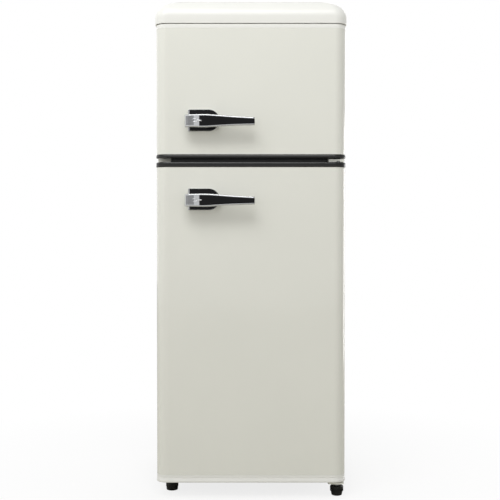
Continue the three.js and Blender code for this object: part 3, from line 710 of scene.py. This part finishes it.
lever = {
    "left": -162, "tip": 9.4, "front": -275.3, "back": -263, "foot": -246.3, "neck": -110, "curl": 15.3,
    "round": 12, "edge": 2.6, "rim": 3.4, "channel": 1.5, "insertLeft": -126,
    "up": [(-162, 15.0), (-140, 15.3), (-112, 15.8), (-80, 14.0), (-45, 11.3), (9.4, 8.2)],
    "down": [(-162, 15.3), (-140, 15.8), (-112, 16.4), (-80, 14.4), (-45, 12.5), (9.4, 10.8)],
    "tipDrop": [(5, 0), (7, 0.25), (8.4, 0.9), (9.4, 2.2)],
}
spear = {"line": [(-141, 3.4), (-134, 3.2), (-129, 0.9), (-120, 0.5)], "tube": 1.0, "proud": 0.05}
headLines = {"count": 7, "first": -157.2, "gap": 2.8, "half": 11.5, "tube": 0.95, "sunk": 0.35}


def leverFront(x):
    r, c = lever["curl"], lever["left"] + lever["curl"]
    if x < c:
        return lever["front"] + r - math.sqrt(max(r * r - (x - c) ** 2, 0))
    return lever["front"] + smoothed(lever["tipDrop"], x)


def leverBack(x):
    r = lever["round"]
    if x < lever["left"] + r:
        return lever["foot"] - r + math.sqrt(max(r * r - (x - lever["left"] - r) ** 2, 0))
    if x <= lever["neck"]:
        return lever["foot"]
    if x < lever["neck"] + r:
        return lever["back"] + r - math.sqrt(max(r * r - (x - lever["neck"] - r) ** 2, 0))
    return lever["back"]


def leverSection(x, z, channel):
    # one slice across the lever: rounded front edges, and the channel for the dark insert
    y0, y1 = leverFront(x), leverBack(x)
    low, high = z - smoothed(lever["down"], x), z + smoothed(lever["up"], x)
    r = min(lever["edge"], 0.48 * (y1 - y0))
    s = min(1.2, 0.48 * (y1 - y0))
    w, d = lever["rim"], lever["channel"] if channel else 0
    points = (arc(y1 - s, low + s, s, -90, 0, 3) + arc(y1 - s, high - s, s, 0, 90, 3)
              + arc(y0 + r, high - r, r, 90, 180, 8) + [(y0, high - w), (y0 + d, high - w - 0.15)]
              + [(y0 + d, low + w + 0.15), (y0, low + w)] + arc(y0 + r, low + r, r, 180, 270, 8))
    return [(x, y, pz) for y, pz in points]


def handleLever(prefix, node, body, z):
    curl = [lever["left"] + lever["curl"] * (1 - math.cos(math.radians(a))) for a in range(4, 91, 5)]
    stops = [lever["left"] + 0.02] + curl + [-140, -133, lever["insertLeft"]]
    rings = [leverSection(x, z, False) for x in stops]
    neck = [lever["neck"] + lever["round"] * (1 - math.cos(math.radians(a))) for a in range(2, 91, 8)]
    after = [lever["insertLeft"] + 0.02, -118, lever["neck"]] + neck
    after += [-98 + 5 * i for i in range(1, 21)] + [6, 7, 7.8, 8.5, 9.1, lever["tip"]]
    rings += [leverSection(x, z, True) for x in after]
    finishPiece(loft(prefix + "Lever", rings), body, chrome, [node], smooth=38)


def handleInsert(prefix, node, body, z):
    # glossy dark strip, very slightly crowned
    rings = []
    stops = [lever["insertLeft"] + 0.35, lever["insertLeft"] + 0.8] + [-124 + 4 * i for i in range(33)]
    for x in stops + [6.5, 7.6, 8.3, 8.9, 9.25]:
        y0 = leverFront(x)
        edge = 0.5 if x == stops[0] else 0.15
        low = z - smoothed(lever["down"], x) + lever["rim"] + 0.3
        high = z + smoothed(lever["up"], x) - lever["rim"] - 0.3
        back, mid, half = y0 + lever["channel"] - 0.1, (low + high) / 2, (high - low) / 2
        crown = [(y0 + edge + 0.45 * abs(k / 5) ** 3, mid - half * k / 5) for k in range(-5, 6)]
        rings.append([(x, y, pz) for y, pz in [(back, low)] + [(back, high)] + crown])
    finishPiece(loft(prefix + "Insert", rings), body, blackPanel, [node], smooth=40)


def handleSpear(prefix, body, z):
    # two fine raised lines on the head that meet in a point over the strip
    points, edges = [], []
    for side in (-1, 1):
        first = len(points)
        points += [(x, lever["front"] - spear["proud"], z + rise * side) for x, rise in spear["line"]]
        edges += [(first + i, first + i + 1) for i in range(3)]
    mark = bentPipe(prefix + "Spear", points, spear["tube"], 3, 4, 10, chrome, edges)
    for vertex in mark.data.vertices:
        vertex.co.y = max(vertex.co.y, cadBounds[0][1])
    finishPiece(mark, body, chrome, smooth=60, weighted=False)


def handleLines(prefix, body, z):
    # dark lines let into the head, across its curl
    points = []
    for i in range(headLines["count"]):
        x = headLines["first"] + headLines["gap"] * i
        y = leverFront(x) + headLines["sunk"]
        points += [(x, y, z - headLines["half"]), (x, y, z + headLines["half"])]
    edges = [(i, i + 1) for i in range(0, len(points), 2)]
    lines = bentPipe(prefix + "HeadLines", points, headLines["tube"], 1, 2, 8, blackPanel, edges)
    finishPiece(lines, body, blackPanel, smooth=60, weighted=False)


# the middle of each base, and how much lower its lever sits
handles = {"freezer": {"height": 936, "drop": 3.6}, "fridge": {"height": 742, "drop": 2.6}}
for prefix, size in handles.items():
    body, z = prefix + "_door", size["height"] - size["drop"]
    handleBase(prefix, prefix + "_handle_base", body, size["height"])
    handleLever(prefix, prefix + "_handle_lever", body, z)
    handleInsert(prefix, prefix + "_handle_insert", body, z)
    handleSpear(prefix, body, z)
    handleLines(prefix, body, z)
print("doors and handles made")


frontFeet = {
    "leftFoot": {"node": "front_left_foot", "place": (-202, -156), "low": 14.5, "high": 16, "height": 22},
    "rightFoot": {"node": "front_right_foot", "place": (hingeX, hingeY), "low": 13.2, "high": 16.8,
                  "height": 24.4},
}
for name, size in frontFeet.items():
    low, high, height, (x, y) = size["low"], size["high"], size["height"], size["place"]
    foot = lathe(name, [(0.01, 0), (low - 2, 0), (low - 0.6, 0.6), (low, 2), (high, height * 0.82),
                        (high - 0.1, height * 0.88), (high - 0.5, height * 0.93), (high - 1.3, height * 0.97),
                        (high - 2.6, height), (5.3, height), (5.3, 8), (0.01, 8)], x, y, steps=56)
    grip = ribRing(name + "Grip", 40, high - 0.95, (1.4, 1.2, height * 0.3), (x, y, height * 0.6), footPlastic)
    finishPiece(joinInto(foot, [grip]), size["node"], footPlastic, [size["node"]], smooth=35)

rearFeet = {"x": 205, "y": 215, "profile": [
    (0.01, 0), (13.4, 0), (14.3, 0.5), (15, 2), (13.6, 12), (12.6, 22), (12.2, 30), (12.6, 31.2), (15.4, 32.6),
    (16, 34), (16, 41), (15.4, 41.7), (0.01, 41.7)]}
for side, name, node in ((-1, "rearFootLeft", "rear_left_foot"), (1, "rearFootRight", "rear_right_foot")):
    foot = lathe(name, rearFeet["profile"], rearFeet["x"] * side, rearFeet["y"])
    finishPiece(foot, "cabinet", footPlastic, [node], smooth=35)
print("feet made")


liner = {"wall": 1.5, "front": -177, "flange": 202.7, "flangeBack": -175.5, "corner": 14, "rounding": 7,
         "ledgeWidth": 11, "ledgeHeight": 6, "ledgeFront": -90}


def roomLiner(name, node, room):
    # one formed sheet: a flange on the front face, soft inner corners and ledges under the shelves
    side, low, high, back = room["side"], room["floor"], room["ceiling"], room["back"]

    def space(grow, front, rounding):
        outline = roundedRect(-side - grow, side + grow, low - grow, high + grow, liner["corner"] + grow)
        form = prism("space", outline, front, back + grow, "y")
        if "step" in room:
            stepFront, stepTop = room["step"]
            boolean(form, cube("block", (-300, stepFront + grow, 0), (300, 400, stepTop - grow)))
        if rounding:
            roundEdges(form, rounding, 4)
        return form

    shell = space(liner["wall"], liner["front"], 0)
    shell.name = name
    flange = roundedRect(-liner["flange"], liner["flange"], *room["flange"], 1.5, 2)
    boolean(shell, prism("flange", flange, liner["front"], liner["flangeBack"], "y"), "UNION")
    boolean(shell, space(0, -210, liner["rounding"]))
    for top, reach in room["ledges"]:
        for s in (-1, 1):
            left, right = sorted((s * (side - liner["ledgeWidth"]), s * (side + 0.5)))
            section = roundedRect(left, right, top - liner["ledgeHeight"], top, 1.5, 3)
            boolean(shell, prism("ledge", section, liner["ledgeFront"], reach, "y"), "UNION")
    finishPiece(shell, "cabinet", whitePlastic, [node], smooth=35)


roomLiner("freezerLiner", "freezer_liner", {
    "side": 190, "floor": 868, "ceiling": 1136, "back": 195, "flange": (851, 1154.2), "ledges": [(997.2, 194)]})
roomLiner("fridgeLiner", "fridge_liner", {
    "side": 195, "floor": 90, "ceiling": 811, "back": 200, "flange": (60.3, 828.7), "step": (50, 270),
    "ledges": [(599.7, 199), (429.7, 199), (270, 49)]})


def openTray(name, node, body, material, size, extras=()):
    # an open box with drafted walls, soft corners and a turned rim
    (x0, x1), (y0, y1), (z0, z1), wall = size["x"], size["y"], size["z"], size["wall"]
    corner, rim = size.get("corner", 9), size.get("rim", 1.3)

    def level(inset, z):
        return [(x, y, z) for x, y in roundedRect(x0 + inset, x1 - inset, y0 + inset, y1 - inset,
                                                  max(corner - inset, 0.8), 6)]

    inner = rim + wall
    rows = [(inner + 4, z0 + wall), (inner + 1.8, z0 + wall + 0.7), (inner + 1, z0 + wall + 3), (inner, z1 - 3),
            (inner - 0.3, z1 - 0.7), (inner - 1, z1), (0.6, z1), (0, z1 - 0.6), (0, z1 - 3), (0.4, z1 - 3.6),
            (rim, z1 - 4.2), (rim + 1, z0 + 4), (rim + 1.7, z0 + 1.2), (rim + 3.6, z0)]
    tray = loft(name, [level(*row) for row in rows])
    joinInto(tray, [roundEdges(part, 1.2, angle=40) for part in extras])
    finishPiece(tray, body, material, [node])


doorBins = {
    "freezerBin": {"node": "freezer_door_bin", "body": "freezer_door", "half": 158, "z": (905, 970)},
    "upperBin": {"node": "fridge_door_upper_bin", "body": "fridge_door", "half": 163, "z": (600, 665)},
    "middleBin": {"node": "fridge_door_middle_bin", "body": "fridge_door", "half": 163, "z": (372, 440)},
    "bottleBin": {"node": "fridge_door_bottle_bin", "body": "fridge_door", "half": 163, "z": (126, 232)},
}
for name, size in doorBins.items():
    half, high = size["half"], size["z"][1]
    band = cube("band", (-half + 14, -99.9, high - 22), (half - 14, -99, high - 10))
    openTray(name, size["node"], size["body"], clear,
             {"x": (-half, half), "y": (-185.7, -99.4), "z": size["z"], "wall": 2.0}, [band])
openTray("crisperDrawer", "crisper_drawer", "cabinet", clear,
         {"x": (-182, 182), "y": (-91, 45), "z": (91, 256), "wall": 2.2, "corner": 14},
         [cube("grip", (-70, -92, 238), (70, -88.5, 244)), cube("lowerGrip", (-70, -92, 228), (70, -89, 231))])


shelf = {"half": 192, "front": -81.5, "back": 187.5, "thick": 4, "bars": ((-90, -80.5), (186.5, 195)),
         "barHalf": 191.8, "barHeight": 6.4}


def glassShelf(name, node, z):
    half, bar = shelf["half"], shelf["barHalf"]
    plate = prism(name, roundedRect(-half, half, shelf["front"], shelf["back"], 2, 3), z, z + shelf["thick"])
    finishPiece(roundEdges(plate, 0.7), "cabinet", glass, [node])
    bars = [prism("bar", roundedRect(front, back, z, z + shelf["barHeight"], 2.4, 5), -bar, bar, "x")
            for front, back in shelf["bars"]]
    finishPiece(merged(name + "Trim", bars), "cabinet", whitePlastic)


glassShelf("upperShelf", "upper_glass_shelf", 600)
glassShelf("lowerShelf", "lower_glass_shelf", 430)
glassShelf("crisperTop", "crisper_cover", 270.3)


def wireShelf():
    grid = {"side": 187, "front": -92, "back": 190, "z": 1000, "gaps": 15, "frame": 2.4, "wire": 1.5}
    x, y0, y1, z, step = grid["side"], grid["front"], grid["back"], grid["z"], 2 * grid["side"] / grid["gaps"]
    frameWire = bentPipe("wireShelf", [(-x, y0, z), (x, y0, z), (x, y1, z), (-x, y1, z)], grid["frame"], 12, 6,
                         12, whiteWire, [(0, 1), (1, 2), (2, 3), (3, 0)])
    rows = [wireRow(grid["gaps"] - 1, (-x + step, y0, z + 0.6), (step, 0, 0), (0, y1 - y0, 0), grid["wire"],
                    whiteWire),
            wireRow(3, (-x, y0 + 70, z - 0.9), (0, 71, 0), (2 * x, 0, 0), grid["wire"], whiteWire)]
    finishPiece(joinInto(frameWire, rows), "cabinet", whiteWire, ["freezer_shelf"], smooth=60)


wireShelf()


housingForm = {"x": (60, 180), "z": (772, 810.7), "y": (-60, 80), "lensX": (66, 96), "lensZ": (778, 804)}
knob = {"x": 120, "z": 791, "radius": 17, "front": -76, "back": -62, "stem": 3, "marks": 14, "ribs": 36}


def thermostat():
    x, z, r = knob["x"], knob["z"], knob["radius"]
    form, y, back, stem = housingForm, knob["front"], knob["back"], knob["stem"]
    housing = prism("thermostatHousing", roundedRect(*form["x"], *form["z"], 5, 5), *form["y"], "y")
    roundEdges(housing, 2.2, 3)
    drill(housing, stem + 0.6, back, -48, x, z, "y")
    finishPiece(housing, "cabinet", whitePlastic, ["thermostat_housing"], smooth=35)
    marks = ribRing("thermostatMarks", knob["marks"], 18.8, (2, 0.6, 0.5), (x, -60.1, z), blackTrim, forward)
    finishPiece(marks, "cabinet", blackTrim, smooth=60, weighted=False)
    lens = prism("lampLens", roundedRect(*form["lensX"], *form["lensZ"], 6, 5), -62.2, -59.8, "y")
    finishPiece(roundEdges(lens, 1.0, 3), "cabinet", lampPlastic)
    dial = lathe("thermostatDial", [
        (0.01, y), (r - 6, y - 0.2), (r - 3.2, y - 0.8), (r - 1.8, y - 0.4), (r - 1, y + 1),
        (r - 0.6, back - 0.6), (r - 1.2, back), (stem, back), (stem, -50.4), (0.01, -50)], x, z, "y", 64)
    grip = ribRing("grip", knob["ribs"], 16.3, (1, 1, 10), (x, -69, z), whitePlastic, forward)
    pointer = prism("pointer", roundedRect(x - 2, x + 2, z - 2, z + 15, 1.8, 5), y - 3.6, y + 0.4, "y")
    roundEdges(pointer, 0.8)
    finishPiece(joinInto(dial, [grip, pointer]), "thermostat_dial", whitePlastic, ["thermostat_dial"], smooth=35)


thermostat()
print("rooms fitted out")


def ringLoft(name, half, low, high, section, corner):
    # a closed section of (inset, y) points carried round a rectangle
    rings = [[(x, y, z) for x, z in roundedRect(-half + inset, half - inset, low + inset, high - inset,
                                                max(corner - inset, 0.6), 6)] for inset, y in section]
    return loft(name, rings, closeEnds=False, ringLoop=True)


# sections of (inset, y), the ridge's outer wall first and then its inner one
ridgeSection = [
    (-3, -187.3), (-3, -186), (-0.6, -185), (0, -182.5), (0.6, -150.5), (1.6, -147.4), (4, -145.5), (8, -145),
    (12, -145.5), (14.4, -147.4), (15.4, -150.5), (16, -182.5), (16.6, -185), (19, -186), (19, -187.3),
    (14.6, -187.3), (13.9, -151), (12.4, -148), (8, -146.6), (3.6, -148), (2.1, -151), (1.4, -187.3)]
sealSection = [
    (0, -185.7), (0.9, -184.6), (2.4, -183.8), (2.4, -182.4), (0.8, -181.4), (0.2, -179.4), (0.9, -177.8),
    (2.6, -177.3), (11.4, -177.3), (13.1, -177.8), (13.8, -179.4), (13.2, -181.4), (11.6, -182.4),
    (11.6, -183.8), (13.1, -184.6), (14, -185.7)]


def doorInside(prefix, skin, ridge, lugs, seal):
    # a flat liner with a hollow ridge that stands into the room, and lugs for the bins
    body, (half, low, high) = prefix + "_door", ridge
    liner = prism(prefix + "DoorLiner", roundedRect(-224.7, 224.7, *skin, 3, 4), -187.5, -186, "y")
    parts = [ringLoft("ridge", half, low, high, ridgeSection, 5)]
    for z in lugs:
        for s in (-1, 1):
            left, right = sorted((s * (half - 28), s * (half - 15)))
            parts.append(roundEdges(cube("lug", (left, -174, z - 6), (right, -150, z - 0.3)), 1.2))
    panel = prism("panel", roundedRect(-half + 40, half - 40, low + 26, high - 26, 10, 6), -186.2, -184.8, "y")
    parts.append(roundEdges(panel, 1.2))
    finishPiece(joinInto(liner, parts), body, whitePlastic, [body + "_liner"], smooth=35)
    gasket = ringLoft(prefix + "Gasket", 215, *seal, sealSection, 15)
    finishPiece(gasket, body, sealRubber, [body + "_gasket"], smooth=50)


doorInside("freezer", (853.5, 1163.9), (178, 880, 1124), [905], (851, 1168))
doorInside("fridge", (57.3, 821.7), (183, 102, 799), [600, 372, 126], (56, 828))
print("door insides made")


pump = {"x": 40, "y": 166, "radius": 60, "feet": [(dx, dy) for dx in (-60, 60) for dy in (-34, 34)]}


def compressorUnit():
    x, y, r = pump["x"], pump["y"], pump["radius"]
    dome = [(r * math.sin(math.radians(a)), 148 + 42 * math.cos(math.radians(a))) for a in range(90, 5, -6)]
    can = lathe("compressorShell", [
        (0.01, 56), (r - 20, 57), (r - 8, 62), (r - 3, 70), (r - 0.6, 80), (r, 90), (r, 111.6),
        (r + 0.8, 112.6), (r + 2.5, 113.2), (r + 2.5, 116.8), (r + 0.8, 117.4), (r, 118.4)] + dome
        + [(0.01, 190)], x, y, steps=96)
    plate = roundEdges(prism("plate", roundedRect(x - 72, x + 72, y - 44, y + 44, 12, 6), 52, 57), 1.0)
    finishPiece(joinInto(can, [plate]), "cabinet", blackPaint, ["compressor"], smooth=35)
    mounts = [lathe("mount", [(0.01, 44.8), (8, 44.8), (9, 45.8), (9, 47.6), (7.4, 48.4), (7.4, 50), (9, 50.8),
                              (9, 51.8), (0.01, 51.8)], x + dx, y + dy, steps=28) for dx, dy in pump["feet"]]
    finishPiece(merged("compressorMounts", mounts), "cabinet", footPlastic, smooth=35)
    screwRow("mountBolts", [(x + dx, y + dy, 57) for dx, dy in pump["feet"]], upward, 5, 3, 7)
    cover = roundEdges(cube("relayCover", (-62, 143, 88), (-23, 189, 136)), 4, 4)
    finishPiece(cover, "cabinet", footPlastic, ["relay_cover"], smooth=35)
    openTray("dripTray", "drip_tray", "cabinet", footPlastic,
             {"x": (-30, 110), "y": (112, 218), "z": (193, 214), "wall": 2.0, "corner": 8, "rim": 1.2})
    drier = lathe("filterDrier", [
        (0.01, 96), (2.6, 96), (3, 96.5), (3, 106), (5, 110), (8.2, 113.5), (9, 118), (9, 188), (8.2, 192.5),
        (5, 197), (3, 201), (3, 214), (0.01, 214)], -122, 200, steps=40)
    finishPiece(drier, "cabinet", copper, ["filter_drier"], smooth=35)


compressorUnit()


coil = {"side": 196, "riser": 212, "y": 269.5, "bottom": 340, "pitch": 72, "runs": 11, "tube": 3,
        "bend": 35.9}
wireGrid = {"count": 56, "half": 176, "low": 322, "height": 758, "off": 3.8, "wire": 0.8}
suction = {"tube": 4, "bend": 9, "route": [
    (101.5, 150, 140), (122, 152, 140), (140, 164, 141), (149, 186, 146), (151, 215, 156), (151, 240, 170),
    (151, 254, 188), (151, 260, 210), (151, 260, 282), (151, 258, 290), (151, 253, 294), (151, 248.6, 294)]}


def tubes():
    # the condenser climbs at the right, winds down the back and ends at the drier
    y, top = coil["y"], coil["bottom"] + (coil["runs"] - 1) * coil["pitch"]
    points = [(70, 226, 100), (95, 246, 102), (130, 262, 112), (175, y, 134), (coil["riser"], y, 165),
              (coil["riser"], y, top)]
    for i in range(coil["runs"] - 1):
        x = coil["side"] * (1 if i % 2 else -1)
        points += [(x, y, top - i * coil["pitch"]), (x, y, top - (i + 1) * coil["pitch"])]
    points += [(-202, y, coil["bottom"]), (-202, y, 236), (-168, 246, 224), (-122, 200, 218), (-122, 200, 206)]
    tube = bentPipe("condenserTube", points, coil["tube"], coil["bend"], 10, 14, blackPaint)
    finishPiece(tube, "cabinet", blackPaint, ["condenser_coil"], smooth=60)

    gap = 2 * wireGrid["half"] / (wireGrid["count"] - 1)
    half, low = wireGrid["half"], wireGrid["low"]
    rows = [wireRow(wireGrid["count"], (-half, y + side * wireGrid["off"], low), (gap, 0, 0),
                    (0, 0, wireGrid["height"]), wireGrid["wire"], blackPaint) for side in (-1, 1)]
    finishPiece(merged("condenserWires", rows), "cabinet", blackPaint, smooth=60, weighted=False)

    clips, bolts = [], []
    for side, z in ((-1, top - 36), (-1, 448), (1, top - 108), (1, 376)):
        for near, far, reach in ((184, 206, 249.8), (194, 196.5, 274.5)):
            left, right = sorted((side * near, side * far))
            clips.append(roundEdges(cube("clip", (left, 248.3, z - 9), (right, reach, z + 9)), 0.5))
        bolts.append((side * 201.5, 249.7, z))
    finishPiece(merged("condenserClips", clips), "cabinet", blackPaint, smooth=35)
    screwRow("clipScrews", bolts, backward, 3.6, 2.2, 2)
    line = bentPipe("suctionLine", suction["route"], suction["tube"], suction["bend"], 4, 18, copper)
    finishPiece(line, "cabinet", copper, ["suction_line"], smooth=60)


tubes()


rear = {"half": 222.7, "low": 233.2, "high": 1173.5, "front": 246.8, "back": 248, "ribs": (-150, -75, 0, 75),
        "ribHalf": 7, "ribLow": 380, "ribHigh": 1110}


def rearPanel():
    # a ribbed sheet, screwed on all round
    half, wide, back = rear["half"], rear["ribHalf"], rear["back"]
    panel = prism("rearPanel", roundedRect(-half, half, rear["low"], rear["high"], 2, 3), rear["front"], back, "y")
    outlines = [roundedRect(x - wide, x + wide, rear["ribLow"], rear["ribHigh"], 6.9, 8) for x in rear["ribs"]]
    ribList = [roundEdges(prism("rib", outline, back - 0.6, back + 1.2, "y"), 1.2) for outline in outlines]
    finishPiece(joinInto(panel, ribList), "cabinet", zinc, ["rear_panel"], smooth=35)
    points = [(side * 217, back, z) for side in (-1, 1) for z in range(250, 1101, 170)]
    points += [(x, back, 1162) for x in range(-150, 151, 100)] + [(x, back, 241) for x in range(-150, 51, 100)]
    screwRow("rearScrews", points, backward, 3.4, 2.0, 9)


rearPanel()
print("back made")


# the floor's sides are in mm, the fade round its middle in metres
floorSize = {"half": 6000, "back": 9000, "clearFrom": 0.2, "clearTo": 1.1}
softRoom = {
    # the soft room's brightness from straight down (0) to straight up (1)
    "stops": [(0.0, 0.75), (0.47, 0.73), (0.52, 0.66), (0.62, 0.73), (0.72, 0.71), (1.0, 0.11)],
    "left": 1.48, "right": 0.88, "behind": 1.3,
}
lights = {
    "keyLight": {"place": (-0.55, -1.85, 3.1), "target": (0, -0.25, 0.8), "size": (2.4, 1.1), "power": 44},
    "rightLight": {"place": (2.2, 1.4, 0.5), "target": (0.2, -0.2, 0.5), "size": (1.0, 1.4), "power": 17},
    "topLight": {"place": (0, -0.2, 3.1), "target": (0, 0, 0), "size": (2.6, 2.6), "power": 3},
    "backLight": {"place": (0.8, 3.0, 1.9), "target": (0, 0, 0.6), "size": (2.0, 1.6), "power": 14},
}
cameraView = {"place": (-0.0022, -2.638, 0.669), "pitch": -1.24, "lens": 69.9}


def forCamera(tree, others, seen):
    # one shader for what the camera sees, another for all other rays
    path = addNode(tree, "ShaderNodeLightPath")
    return addNode(tree, "ShaderNodeMixShader", {
        0: path.outputs["Is Camera Ray"], 1: others.outputs[0], 2: seen.outputs[0]}).outputs[0]


def studioFloor():
    half, back = floorSize["half"], floorSize["back"]
    floor = newObject("floor", [(-half, -half, 0), (half, -half, 0), (half, back, 0), (-half, back, 0)],
                      [(0, 1, 2, 3)])
    material, tree, shader = principled("floorPaint", (0.90, 0.90, 0.90), 0.85)
    clouded(tree, shader, objectNoise(tree, 2.0), (0.90, 0.90, 0.90), (0.885, 0.885, 0.885))
    # the floor that the camera sees turns to the white of the backdrop further out
    place = addNode(tree, "ShaderNodeTexCoord")
    far = addNode(tree, "ShaderNodeVectorMath", {0: place.outputs["Object"]}, operation="LENGTH")
    fade = ranged(tree, far.outputs["Value"], 0.8, 1, floorSize["clearFrom"], floorSize["clearTo"])
    glow = addNode(tree, "ShaderNodeEmission", {"Color": (1, 1, 1, 1), "Strength": 1.0})
    seen = addNode(tree, "ShaderNodeMixShader", {0: fade, 1: shader.outputs[0], 2: glow.outputs[0]})
    dull = addNode(tree, "ShaderNodeBsdfDiffuse", {"Color": (0.54, 0.52, 0.46, 1)})
    tree.links.new(forCamera(tree, dull, seen), tree.nodes["Material Output"].inputs["Surface"])
    floor.data.materials.append(material)
    floor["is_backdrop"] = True


def studioWorld():
    # a white backdrop for the camera, and for the rest a soft room: bright at the sides, dim overhead
    world = bpy.data.worlds.new("studio")
    scene.world = world
    world.use_nodes = True
    tree = world.node_tree
    tree.nodes.clear()
    place = addNode(tree, "ShaderNodeTexCoord")
    x, y, z = addNode(tree, "ShaderNodeSeparateXYZ", {0: place.outputs["Generated"]}).outputs
    ramp = addNode(tree, "ShaderNodeValToRGB", {0: ranged(tree, z, 0, 1, -1, 1)})
    while len(ramp.color_ramp.elements) < len(softRoom["stops"]):
        ramp.color_ramp.elements.new(0.5)
    for element, (position, value) in zip(ramp.color_ramp.elements, softRoom["stops"]):
        element.position = position
        element.color = (value, value, value, 1)
    strength = addNode(tree, "ShaderNodeMath", {
        0: ranged(tree, x, softRoom["left"], softRoom["right"], -0.8, 0.8),
        1: ranged(tree, y, 1, softRoom["behind"], 0.2, 0.8)}, operation="MULTIPLY")
    soft = addNode(tree, "ShaderNodeBackground", {0: ramp.outputs[0], 1: strength.outputs[0]})
    plain = addNode(tree, "ShaderNodeBackground", {"Color": (1, 1, 1, 1), "Strength": 1.0})
    addNode(tree, "ShaderNodeOutputWorld", {0: forCamera(tree, soft, plain)})


def studioLights():
    for name, row in lights.items():
        data = bpy.data.lights.new(name, "AREA")
        data.shape = "RECTANGLE"
        data.size, data.size_y = row["size"]
        data.energy = row["power"]
        light = bpy.data.objects.new(name, data)
        light.location = row["place"]
        light.rotation_mode = "QUATERNION"
        aim = Vector(row["target"]) - Vector(row["place"])
        light.rotation_quaternion = aim.to_track_quat("-Z", "Y")
        scene.collection.objects.link(light)


def studioCamera():
    camera = bpy.data.objects.new("camera", bpy.data.cameras.new("camera"))
    camera.data.lens = cameraView["lens"]
    camera.data.sensor_width = 36
    camera.location = cameraView["place"]
    camera.rotation_euler = (math.radians(90 + cameraView["pitch"]), 0, 0)
    scene.collection.objects.link(camera)
    scene.camera = camera
    scene.view_settings.view_transform = "Standard"


studioFloor()
studioWorld()
studioLights()
studioCamera()
print("studio set")
low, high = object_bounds()
